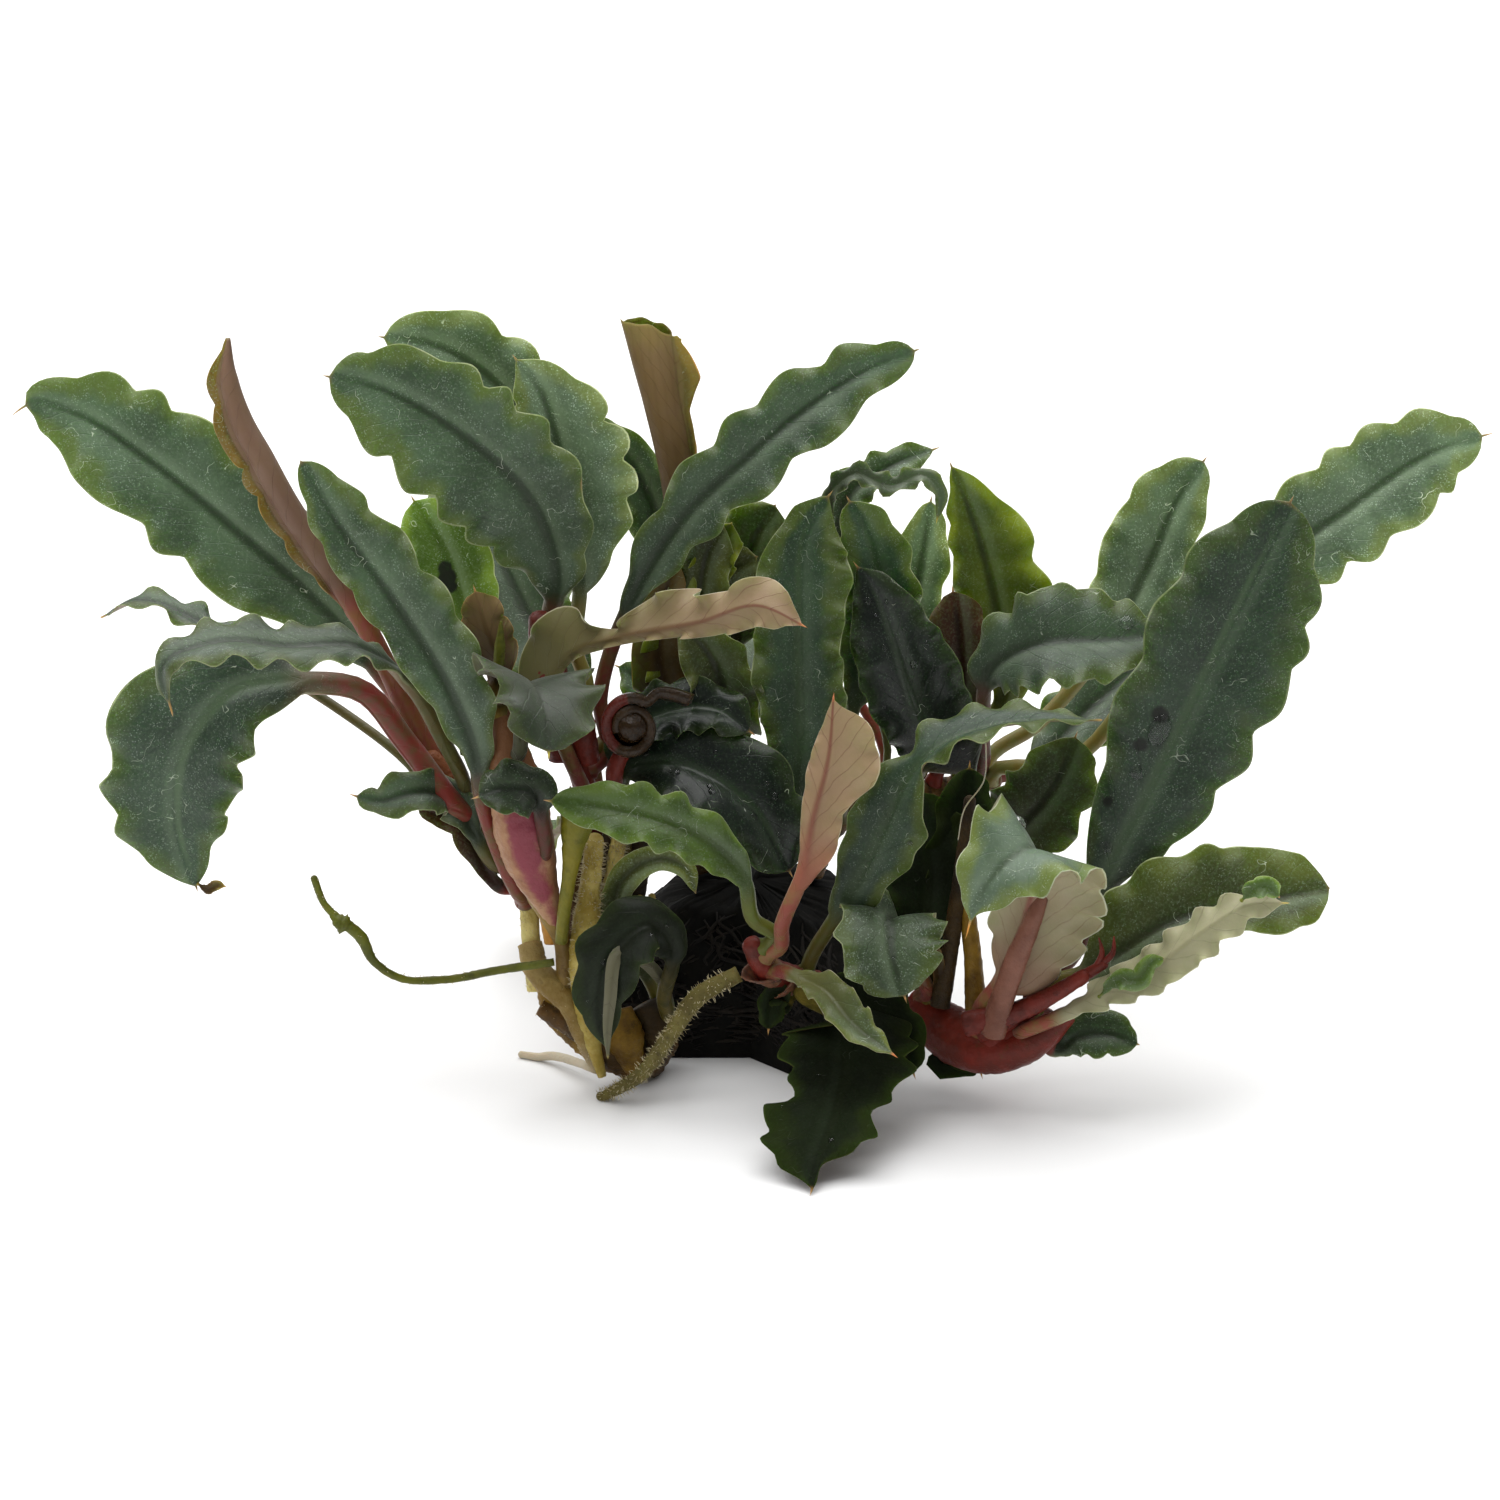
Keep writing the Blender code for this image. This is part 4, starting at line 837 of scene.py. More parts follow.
def stems():
    """The creeping stem, the upright stems that carry the leaves, and the roots."""
    stem("rhizome", [(-21, -25.7, -14), (-17, -27.8, -14.3), (-13, -30.6, -13.6), (-10.5, -30.8, -11.8),
         (-8.6, -29, -9.6)], [0.9, 1.4, 2.1, 2.1, 1.6], "brown", steps=6, bumps=0.14)
    stem("stem_left", [(-21.4, -24, -14), (-21.9, -19.3, -13.2), (-22.4, -14.5, -12.3),
         (-24.8, -10.2, -11), (-28.2, -5.8, -9.5), (-32, -0.9, -8.5)], [0.9, 0.9, 0.95, 1.1, 1.4, 1.1],
         "yellow", steps=12)
    stem("stem_pink", [(-18.6, -24.9, -15.8), (-18.8, -19, -16), (-20.8, -14.5, -16), (-22.8, -9, -16),
         (-24.2, -2, -15.5), (-24.8, 4.5, -15)], [0.8, 0.9, 1.6, 1.4, 1.1, 0.9], "pink", steps=10)
    stem("stem_dark_red", [(-14, -25.6, -12.8), (-14.6, -18, -9.5), (-15.3, -9, -7.5), (-17, -2, -6),
         (-19, 5, -5)], [0.9, 0.9, 1.0, 1.2, 1.0], "red", steps=10)
    stem("stem_middle", [(-5, -12, 2), (-6, -7, 2), (-6.5, -2, 2), (-6, 4, 3)], [1.4, 1.2, 1.1, 0.9],
         "brown", steps=6, rings_every=2.4, slot="root_yellow")
    stem("stem_back", [(6, -12.2, 2), (8, -8, 2), (12, -5, 3), (18, -4, 4), (24.5, -3, 4)],
         [1.4, 1.2, 1.1, 1.1, 0.9], "brown", rings_every=1.5, slot="root_yellow")
    stem("stem_front", [(6.5, -23.5, -15.9), (4, -23, -18.2), (1.5, -21.6, -20.5), (0.2, -19.5, -21.5)],
         [1.5, 1.6, 1.4, 1.0], "red", steps=6)
    stem("stem_right", [(16.6, -24.6, -13), (19.5, -27.2, -15.3), (24, -29, -18), (29.5, -27.2, -18.5)],
         [1.6, 2.2, 2.5, 1.6], "crown", steps=7)
    stem("root_front", [(-1.1, -22.4, -20.8), (-5, -24.5, -21.4), (-8, -28.5, -21), (-11, -32.5, -19.5),
         (-15, -34.8, -17.8)], [0.8, 0.9, 0.8, 0.7, 0.45], "root", steps=9, bumps=0.12)
    stem("aerial_root", [(-19.6, -21.2, -17.2), (-25, -22, -17.2), (-31, -23, -18.5), (-35, -22.8, -19.5),
         (-37.7, -21, -20), (-39, -18.6, -20), (-41, -17, -20), (-42.5, -15.5, -19.5),
         (-43.6, -12.8, -19)], [0.4, 0.4, 0.4, 0.4, 0.4, 0.45, 0.6, 0.35, 0.35], "olive", steps=14,
         bumps=0.14, sides=12)


def left_leaves():
    """The crown that leans out to the left."""
    leaf("leaf_left_broad", "stem_left", 0.97, [(-35.5, 5.5, -5), (-41.2, 12.5, -3), (-51.9, 22.3, -0.5),
         (-60.2, 29, 1), (-68, 33.8, 3), (-72, 34.6, 3.4), (-74.4, 33, 3)], 0.2, 11.8, lean=0.08, waves=8,
         widest=0.56, spike=2.4, look="blue_green", tone=1.2, sides=(1, 1.15),
         notches=((0.12, 0.28, 0.42, 0.55, 0.71, 0.8, 0.9), (0.1, 0.22, 0.49, 0.61, 0.92)))
    leaf("leaf_left_arched", "stem_left", 0.82, [(-31, 1.5, -13), (-34, 6.5, -15.5), (-39, 10.2, -18),
         (-46.5, 10.3, -20.5), (-53, 10.8, -22), (-58.6, 8.4, -23), (-57.7, 3.3, -24)], 0.33, 7.2,
         faces=[UP, (0, -0.3, 0.95), (-0.6, -0.4, 0.7)], fold=4, pointed=True, spike=1.5,
         look="grey_green", tone=0.78)
    leaf("leaf_left_drooping", "stem_left", 0.74, [(-34.2, 0.5, -10), (-39, 6, -11), (-45, 6.7, -13),
         (-51.5, 5.9, -15), (-56.2, 0.5, -16), (-57.2, -6.5, -15.5), (-55.2, -14.3, -14)], 0.42, 12.8,
         faces=[UP, (-0.2, -0.6, 0.75), VIEWER, VIEWER], fold=6, lean=0.08, waves=8, pointed=True,
         look="light_rib", slot="leaf_blue_green", petiole=1.15, tone=1.0, sides=(1.14, 1.05),
         notches=((0.15, 0.32, 0.6, 0.72, 0.84), (0.25, 0.45, 0.7, 0.88)))
    leaf("leaf_far_left_narrow", "stem_left", 0.68, [(-35, -0.5, -4), (-41, 4, 0), (-48, 8.4, 3),
         (-55, 12.6, 6), (-61, 14.9, 8), (-65, 13.2, 9)], 0.5, 4.8, faces=[UP], waves=5, petiole=0.5,
         look="grey_green", tone=0.85)
    leaf("leaf_left_small_curled", "stem_left", 0.5, [(-30.6, -4.6, -12.6), (-34, -4.4, -15),
         (-37, -5.2, -16), (-40.1, -4.4, -16.5)], 0.2, 4.8, faces=[SLOPING], waves=4, look="grey_green",
         tone=0.8)
    leaf("leaf_front_narrow", "stem_left", 0.36, [(-26.6, -6, -15.8), (-27.9, 1, -18), (-30.6, 7, -18.5),
         (-33.7, 12, -18), (-37.2, 17, -17.5), (-41.2, 22.4, -17), (-45, 29, -16)], 0.28, 8, lean=0.18,
         waves=8, ripple=0.9, look="blue_green", tone=0.95, spike=0.2, sides=(1, 0.9),
         notches=((0.15, 0.3, 0.45, 0.6, 0.8, 0.92), (0.1, 0.27, 0.53, 0.66, 0.8, 0.9)))


def pink_stem_leaves():
    """The pink stem's leaves, to the left of the middle."""
    # The three dark marks are painted shade: the dark inside of the clump seen through holes in this leaf,
    # which the mesh doesn't cut
    leaf("leaf_bright_back", "stem_pink", 0.93, [(-27.6, 8, -11.5), (-28.8, 14, -9), (-30.5, 19.5, -7),
         (-34, 25.6, -5)], 0.3, 8.6, look="bright",
         marks=((0.56, -0.1, 0.8, -0.8), (0.5, -0.12, 0.9, -1), (0.44, -0.1, 0.7, -0.8)), tone=2.2,
         scallop=0.03, ripple=0.4, waves=5)
    leaf("leaf_brown_folded", "stem_pink", 0.99, [(-25.2, 8.5, -14.8), (-26.5, 12.5, -14.6),
         (-27.7, 16.6, -14.2)], 0.25, 5, faces=[AWAY], bend=40, waves=4, look="brown")
    leaf("leaf_front_pale_drooping", "stem_pink", 0.84, [(-22.9, 6, -19), (-21.6, 6.6, -23),
         (-20.3, 3.6, -27), (-20.1, -1, -30)], 0.2, 11.4, faces=[(0.25, 0, 0.95), (0.3, -0.45, 0.85)],
         waves=5, look="pale_top", tone=0.25, ripple=0.9)
    leaf("leaf_dark_small", "stem_pink", 0.5, [(-20.8, -7, -19.6), (-21.4, -4.6, -20.6),
         (-24.5, -4, -21.4), (-27.9, -4.9, -21.6)], 0.42, 5.8, faces=[SLOPING], waves=3,
         slot="leaf_black_green", tone=0.5, ripple=0.25)


def dark_red_stem_leaves():
    """The tall leaves that rise behind the pink stem."""
    leaf("leaf_tall_broad", "stem_dark_red", 0.9, [(-20.2, 10, -6.5), (-19.4, 18, -7.5), (-22, 25, -9),
         (-29, 31.6, -10), (-37.6, 36.3, -10.5), (-42.9, 37.5, -10.5)], 0.28, 13.4, lean=-0.1, waves=8,
         look="blue_green", marks=((0.3, 0.9, 1.2, 1),), tone=1.05, petiole=1.0,
         notches=((), (0.12, 0.28, 0.44, 0.58, 0.75, 0.93)))
    leaf("leaf_tall_back", "stem_dark_red", 0.83, [(-19.5, 9, -0.5), (-19.4, 19, 2), (-20.8, 28.4, 3.5),
         (-25, 36.2, 4), (-30.4, 40, 4), (-37.4, 41.4, 3)], 0.4, 8, look="grey_green", tone=2.0,
         sides=(1.25, 1), notches=((0.2, 0.38, 0.54, 0.67, 0.84), ()))
    leaf("leaf_grey_arched", "stem_dark_red", 0.98, [(-17.4, 10, -4), (-17, 17, -3.5), (-18.3, 25, -3.5),
         (-19.4, 31, -4), (-20.8, 35.4, -4.5), (-23.8, 39.6, -5)], 0.3, 11, pointed=True,
         look="grey_green", tone=2.1, sides=(1.25, 1), notches=((0.16, 0.36, 0.54, 0.68, 0.84), ()))
    leaf("leaf_tall_right", "stem_dark_red", 0.76, [(-15, 5, -3.5), (-12.3, 14, -2.5), (-9.4, 19.4, -2.5),
         (-5.8, 24.2, -2.2), (-0.6, 29, -1.5), (4.8, 33.6, 0), (12, 38.2, 2.5), (17.2, 40.2, 4)], 0.26,
         6.8, lean=0.06, waves=8, ripple=0.9, widest=0.6, look="blue_green", tone=0.85, sides=(1.1, 1.2),
         scallop=0.14, notches=((0.12, 0.27, 0.41, 0.6, 0.84), (0.12, 0.3, 0.48, 0.62, 0.79, 0.92)))
    leaf("leaf_pale_reaching", "stem_dark_red", 0.7, [(-19.8, 7, -11), (-17.4, 10, -13.5),
         (-13.5, 11.2, -15.5), (-5, 12.8, -19.5), (1, 14.4, -22.5), (5.8, 12.2, -25)], 0.24, 5.2,
         faces=[AWAY], fold=16, lean=0.4, look="pale_olive", tone=0.76, ripple=1.6, waves=8, scallop=0.03,
         widths=((1.9, 3.9, 4.3, 0.8, 3.5, 3.3, 2, 2.8, 0.9), (0.2, 0.5, 0.8, 0.8, 0.9, 1.3, 2.1, 2, 0.9)))
    leaf("leaf_glossy_dark", "stem_dark_red", 0.45, [(-12, -2, -9.5), (-8.5, -1.3, -10.5), (-4, -2.6, -11),
         (0.5, -6, -11.5), (4.3, -12.8, -12)], 0.3, 10.6, faces=[SLOPING], look="black", ripple=0.35,
         waves=4)
    leaf("leaf_dark_hooked", "rhizome", 0.8, [(-8.6, -24.5, -16), (-7.8, -20, -17.5), (-10, -17.6, -19),
         (-13.4, -20, -21), (-14.9, -25, -22), (-14.2, -30.5, -22.5)], 0.34, 7, pointed=True,
         faces=[SLOPING, SLOPING, (-0.3, -0.9, 0.2)], waves=5, ripple=0.3, look="darkest_stripe")


def middle_leaves():
    """The shorter leaves that fill the middle of the clump."""
    leaf("leaf_olive_cup", "stem_middle", 0.9, [(-4.5, 9, 2), (-4.4, 14, 1.5), (-3.8, 18, 1.5),
         (-1.8, 22.8, 1)], 0.35, 5, look="olive", tone=1.3, waves=5, ripple=1.2, bend=50, spike=0.2,
         widest=0.75)
    leaf("leaf_olive_behind", "stem_middle", 0.75, [(-8, 7, 0), (-7.8, 13, 0), (-6.6, 18.5, 0.5)], 0.25, 6,
         look="olive", tone=1.2, waves=5, ripple=1.2, bend=40, spike=0.2)
    leaf("leaf_dark_olive", "stem_middle", 0.5, [(-3, 0.5, -2), (-2.5, 5, -4), (-4.5, 10, -5),
         (-7.5, 12.8, -5)], 0.2, 8, waves=5, look="cup", tone=0.9, ripple=1.0, bend=40)
    leaf("leaf_centre_long", "stem_back", 0.3, [(5, -6, -5), (5, 3, -6), (4.8, 14, -5.5), (5.5, 22, -4),
         (8.3, 26, -3)], 0.15, 9.8, waves=9, look="olive_blue", tone=0.8, ripple=1.1, scallop=0.04,
         widths=((3, 5, 5.7, 4.8, 4.4, 4.5, 5.3, 4.5, 1.2), (2, 3.5, 3.1, 4, 4.7, 4.2, 4.4, 2.5, 1.5)))
    leaf("leaf_centre_folded", "stem_back", 0.42, [(10, 2, 3), (12, 9, 2.5), (13, 15, 2),
         (11.6, 21.5, 1.5), (9.6, 25.5, 1)], 0.25, 8, waves=5, look="olive_blue", slot="leaf_olive",
         tone=1.05, ripple=1.0)
    leaf("leaf_back_narrow", "stem_back", 0.5, [(9.5, 8, 9), (8.8, 19, 11), (10, 25.6, 12),
         (13.8, 28.2, 12.5), (19, 30.3, 13)], 0.56, 4.2, faces=[SLOPING], waves=5, petiole=0.5, tone=1.3)
    leaf("leaf_back_light", "stem_back", 0.6, [(14.4, 6, 9), (16.2, 14, 10), (17.3, 20, 10.5),
         (18.2, 25.6, 11)], 0.3, 6, waves=4, look="grey_green", slot="leaf_bright", tone=3.0)
    leaf("leaf_blue_black", "stem_back", 0.62, [(17.5, 1, -1.5), (16, 5.5, -2.5), (14.2, 11, -2.5),
         (12.3, 16, -2), (10.3, 18.9, -1.5)], 0.15, 11, lean=0.08, waves=6, look="black", ripple=0.4,
         scallop=0.03, widths=((5.5, 5.5, 5.5, 3.8, 0.8), (2.2, 3.7, 4.5, 3.7, 0.9)))


def back_right_leaves():
    """The leaves on the far end of the stem that runs to the right."""
    leaf("leaf_brown_round", "stem_back", 0.74, [(21, 5, 3), (20.9, 11, 3.5), (20.2, 16.6, 4)], 0.25, 7,
         waves=3, look="dark_brown")
    leaf("leaf_olive_upright", "stem_back", 0.86, [(25.5, 6, 6), (24.6, 14, 7), (22.4, 22.5, 7.5),
         (19.9, 29, 7.5)], 0.2, 8.8, lean=0.18, waves=6, pointed=True, look="olive", tone=1.15,
         sides=(1.08, 1), notches=((0.15, 0.38, 0.57, 0.84), ()))
    leaf("leaf_right_upright", "stem_back", 0.96, [(28.5, 2.4, 8), (35.5, 10.6, 11), (39.8, 18.5, 13),
         (42.9, 25.4, 14), (45.8, 29.5, 14.5)], 0.4, 9.2, waves=6, look="grey_green",
         slot="leaf_blue_green", tone=1.9, sides=(0.85, 1.12), scallop=0.05,
         notches=((0.2, 0.42, 0.66, 0.9), (0.15, 0.35, 0.72, 0.88)))
    leaf("leaf_right_level", "stem_back", 0.93, [(23.3, 1.5, -0.5), (24.3, 8.2, -3), (29, 10.6, -5),
         (36, 11, -6.5), (41.6, 11.4, -7)], 0.36, 11, faces=[SLOPING], waves=6, look="blue_green",
         tone=0.68)
    leaf("leaf_far_right", "stem_back", 0.99, [(31, -1.5, 3), (41.5, 9.9, 3), (50, 17.3, 3.5),
         (59, 23.7, 5), (69, 30.2, 7), (74.7, 31.8, 7)], 0.45, 9.2, lean=-0.08, waves=8, widest=0.56,
         spike=1.5, look="grey_green", slot="leaf_olive", tone=1.9, sides=(1.3, 1.12),
         notches=((0.15, 0.33, 0.46, 0.6, 0.81, 0.9), (0.15, 0.35, 0.54, 0.66, 0.79, 0.93)))
    leaf("leaf_olive_right", "stem_back", 0.8, [(24.5, -8.5, -1), (28.6, -6, -5), (31, -2.5, -6),
         (32.8, 2, -5.5)], 0.2, 9.2, waves=5, look="cup", tone=0.8)


def right_crown_leaves():
    """The low red crown at the right and the great leaf above it."""
    leaf("leaf_right_great", "stem_right", 0.95, [(32, -21, -16.5), (35.2, -13, -15), (40.3, -3, -13),
         (45.1, 7, -11), (50.5, 18, -9), (54.4, 25.5, -7.5)], 0.22, 14.8, fold=7, lean=0.02, waves=9,
         widest=0.62, look="light_rib", tone=0.64,
         marks=((0.45, -0.3, 1.1, -0.7), (0.37, -0.36, 0.9, -0.7), (0.22, -0.4, 0.8, -0.6)),
         sides=(1.06, 0.98), scallop=0.07,
         notches=((0.1, 0.2, 0.35, 0.5, 0.67, 0.77, 0.9), (0.3, 0.55, 0.75, 0.9)))
    leaf("leaf_right_low_round", "stem_right", 0.99, [(34, -22, -19), (42, -17.2, -19.5), (51, -15.1, -19),
         (58, -13.8, -18)], 0.2, 10.8, faces=[(0, -0.75, 0.65)], waves=6, look="cup", slot="leaf_green",
         tone=1.25, spike=0.1, widths=((0.8, 5.2, 5, 3, 4, 2.5), (0.8, 4.8, 6, 6, 5, 3)), scallop=0.03)
    leaf("leaf_right_crinkled", "stem_right", 0.86, [(31.5, -26.4, -22.5), (36, -23.8, -25),
         (41, -21.4, -26.5), (45.6, -18, -27), (50, -15.5, -27), (54, -15.3, -27)], 0.16, 4.6,
         faces=[(0, 0.6, -0.6)], waves=8, ripple=1.0, look="pale_grey")
    leaf("leaf_small_oval", "stem_right", 0.94, [(32.5, -28.8, -18.4), (35.5, -28.4, -18.5),
         (39, -29.5, -19)], 0.1, 5, faces=[SLOPING], fold=5, waves=3, ripple=0.2, spike=0.3)
    leaf("leaf_right_folded", "stem_right", 0.6, [(25.2, -23.5, -21), (26.8, -19.5, -22.2),
         (28.2, -14.5, -23.8), (29, -10.8, -26), (27.8, -9.8, -28.6), (25.2, -11.6, -30.8),
         (22.8, -15, -31.8), (21.5, -19, -32)], 0.16, 13, pointed=True, spike=2,
         faces=[AWAY, (0.1, 0.95, -0.1), (0.4, 0.6, 0.6), (0.3, -0.5, 0.8), (0.2, -0.9, 0.35)],
         look="blue_green_lit", tone=1.0, petiole=1.15, ripple=0.9, waves=8,
         widths=((1, 2.5, 3.8, 5.2, 6.3, 6.2, 5.2, 3.2, 0.4), (3.3, 5.4, 6.7, 7, 6.5, 6, 5, 3, 0.4)))
    leaf("leaf_grey_drooping", "stem_right", 0.08, [(15, -19.5, -17), (14, -17.2, -22), (14.3, -20.7, -25),
         (15.7, -25.4, -27)], 0.42, 10.6, faces=[UP, SLOPING, VIEWER], waves=5)


def front_leaves():
    """The leaves of the short front stem."""
    leaf("leaf_front_twisted", "stem_front", 0.25, [(8.4, -17, -19), (11, -12.5, -19.8),
         (13.4, -7.6, -20.3), (15.6, -3.2, -20.5), (18.8, 0.2, -20.2), (23, 2, -19.5), (28.5, 2.9, -18.5),
         (35.3, 3, -17.5)], 0.16, 8.8, faces=[VIEWER, VIEWER, UP, (0, 0.1, 1)], waves=8, look="olive_blue",
         tone=0.78, scallop=0.05,
         widths=((2.7, 3, 4.1, 4, 1.6, 4.2, 3.9, 3, 0.3), (1.1, 2.4, 3.4, 3.3, 2.4, 4.2, 3.9, 3, 0.3)))
    leaf("leaf_pale_upright", "stem_front", 0.88, [(3.2, -17.5, -24), (5.2, -12.5, -24.5),
         (6.3, -7, -24.5), (7.8, -1, -24), (8.4, 5.8, -23)], 0.3, 7.2, faces=[AWAY], fold=18, lean=-0.3,
         waves=6, look="pale", tone=0.88, scallop=0.03,
         widths=((0.1, 0.6, 0.8, 1.2, 1.5, 1.8, 1.6, 0.9, 0.3),
         (0.5, 1.6, 2.8, 2.8, 3.1, 5.1, 4.7, 3.7, 0.6)))
    leaf("leaf_front_arched", "stem_front", 0.95, [(0.4, -17, -22.5), (-0.6, -13, -23.2),
         (-3.6, -9.8, -24), (-7.2, -7.8, -24.7), (-11, -6.6, -25), (-15.5, -5.7, -25), (-20.7, -5, -24.5)],
         0.24, 6, faces=[(0, -0.8, 0.6)], waves=6, look="bright", tone=0.85)
    leaf("leaf_pale_strip", "stem_front", 0.7, [(4.5, -22.6, -24), (7.4, -24, -27), (10.3, -27.4, -30),
         (14.8, -30.8, -33)], 0.15, 4.2, pointed=True, faces=[SLOPING], bend=35, waves=5,
         look="pale_olive", tone=0.85)
    leaf("leaf_lowest", "stem_front", 0.35, [(8.6, -26.5, -20.5), (9.6, -31, -26), (8.8, -36, -32.5),
         (7, -41, -38), (6, -44.6, -41)], 0.16, 13.2, faces=[UP], fold=3, waves=6, ripple=0.35,
         widest=0.42, look="darkest", tone=1.1,
         widths=((3, 6.2, 6.4, 5.8, 5, 6.6, 6.6, 5, 0.8), (3, 7, 6.6, 6.4, 5, 3.8, 4.4, 0.6, 0.4)))


def hidden_leaves():
    """The leaves behind the clump, which the front view doesn't show."""
    leaf("leaf_behind_left", "stem_dark_red", 0.6, [(-17, 4, 1), (-22, 13, 8), (-26, 21, 14),
         (-29, 26, 19), (-30, 28, 23)], 0.25, 11, faces=[(-0.3, -0.5, 0.8)], waves=6, look="blue_green",
         slot="leaf_green")
    leaf("leaf_behind_middle", "stem_middle", 0.65, [(-3, 0, 8), (0, 6, 15), (1, 10, 22), (2, 10, 29),
         (3, 7, 36)], 0.22, 11, faces=[(0, -0.3, 0.95), (0, 0.3, 0.95)], waves=6)
    leaf("leaf_behind_right", "stem_back", 0.83, [(27, -2, 10), (35, 5, 16), (42, 11, 20), (48, 15, 23)],
         0.25, 10, faces=[(0, -0.6, 0.8)], waves=6, look="blue_green", slot="leaf_green")
    leaf("leaf_behind_low", "stem_middle", 0.3, [(-9, -9, 8), (-14, -7, 16), (-19, -8, 23),
         (-23, -12, 29)], 0.22, 9.5, faces=[(0, -0.2, 0.95), (-0.2, 0.3, 0.9)], waves=6)


ROLL_STATIONS = 130
ROLL_THICKNESS = 0.2
ROLL_SPAN = math.radians(330)
ROLL_COLUMNS = 40
FLAP_COLUMNS = 9
FLAP_DIRECTION = (0.92, 0.35)


def rolled_leaf(
    name, path, radii, flap, look, start=-75, waves=7, ripple=0.3, seed=3, mirror=False,
    stalk_end=0.0, flat_end=1.0, cut=(0, 0), shade_at=(0, 48), shade=(1, 1),
):
    """A leaf rolled into a tube with its underside outward, and one wavy edge that stands off it.

    Radii and flap are read at even steps from the stalk to the tip, flap being the edge's width. The
    edge stands off to the left, or to the right where mirror is true. Cut is the share that the tip
    lacks at its left and at its right. Shade is painted light and shade: the factor on the colour at
    the columns shade_at, edge first.
    """
    rng = np.random.default_rng(seed)
    fractions = np.linspace(0, 1, ROLL_STATIONS)
    centres = smooth_path([place(*p) for p in path], fractions)
    rightward, upper = square_to(unit(np.gradient(centres, axis=0)), VIEWER)
    if mirror:
        rightward = -rightward
    size = np.interp(fractions, np.linspace(0, 1, len(radii)), radii)
    size = size * (1 + 0.03 * wander(fractions, rng, (2.3, 5.1)))
    reach = np.interp(fractions, np.linspace(0, 1, len(flap)), flap)
    lobes = np.abs(np.cos(math.pi * (waves * fractions + 0.25 * wander(fractions, rng)))) ** 0.6
    reach = reach * (0.5 + 0.5 * lobes)
    beat = ripple * np.sin(math.tau * waves * fractions + wander(fractions, rng))
    flatness = np.interp(fractions, [0, 0.7, 1], [1, 1, flat_end])
    turn = math.radians(start)
    outward, sideways = FLAP_DIRECTION
    flap_x = outward * math.sin(turn) - sideways * math.cos(turn)
    flap_y = outward * math.cos(turn) + sideways * math.sin(turn)
    columns, edges, sides = [], [], []
    for q in np.linspace(1, 0, FLAP_COLUMNS)[:-1]:
        x = size * math.sin(turn) + flap_x * reach * q
        y = size * math.cos(turn) + flap_y * reach * q + beat * np.minimum(reach, 1) * q * q
        columns.append((x, y * flatness))
        edges.append(q)
        sides.append(-reach * q)
    for q in np.linspace(0, 1, ROLL_COLUMNS):
        angle = turn + ROLL_SPAN * q
        spiral = size * (1 - 0.2 * q)
        columns.append((spiral * math.sin(angle), spiral * math.cos(angle) * flatness))
        edges.append(0)
        sides.append(size * ROLL_SPAN * q)
    section = np.array(columns).transpose(2, 0, 1)
    slope = np.gradient(section, axis=1)
    normal = np.stack([-slope[..., 1], slope[..., 0]], axis=-1)
    normal /= np.linalg.norm(normal, axis=-1, keepdims=True) + 1e-9
    half = ROLL_THICKNESS * 0.5 * np.interp(fractions, [0, 0.9, 1], [1, 1, 0.3])[:, None, None]
    grids = [
        centres[:, None] + flat[..., :1] * rightward[:, None] + flat[..., 1:] * upper[:, None]
        for flat in (section + normal * half, section - normal * half)
    ]
    if max(cut) > 0:
        end = section[-1, :, 0]
        loss = np.interp(end, [end.min(), end.max()], cut)
        loss = loss + 0.012 * wander(np.linspace(0, 1, len(end)), rng, (2, 5, 9))
        for grid in grids:
            for column, part in enumerate(np.clip(loss, 0, 1)):
                grid[:, column] = read_at(fractions * (1 - part), fractions, grid[:, column])

    shape = section.shape[:2]
    edge = np.broadcast_to(np.array(edges), shape)
    on_stalk = np.clip((stalk_end - fractions) * 14 + 0.5, 0, 1) if stalk_end else fractions * 0
    values = {
        "along": np.broadcast_to(fractions[:, None] * 0.97, shape),
        "across": edge,
        "side": np.array(sides).T,
        "reach": np.broadcast_to(fractions[:, None] * path_length(centres), shape),
        "stalk": np.broadcast_to(on_stalk[:, None], shape),
        "tone": np.broadcast_to(np.interp(np.arange(len(edges)), shade_at, shade), shape),
        "mark": np.zeros(shape),
    }
    outer_values = dict(values, under=1 - np.clip(edge * 1.6, 0, 1))
    inner_values = dict(values, under=np.zeros(shape))
    return sheet(name + "_shape", *grids, LOOKS[look], LEAF_SLOTS[look], outer_values, inner_values)


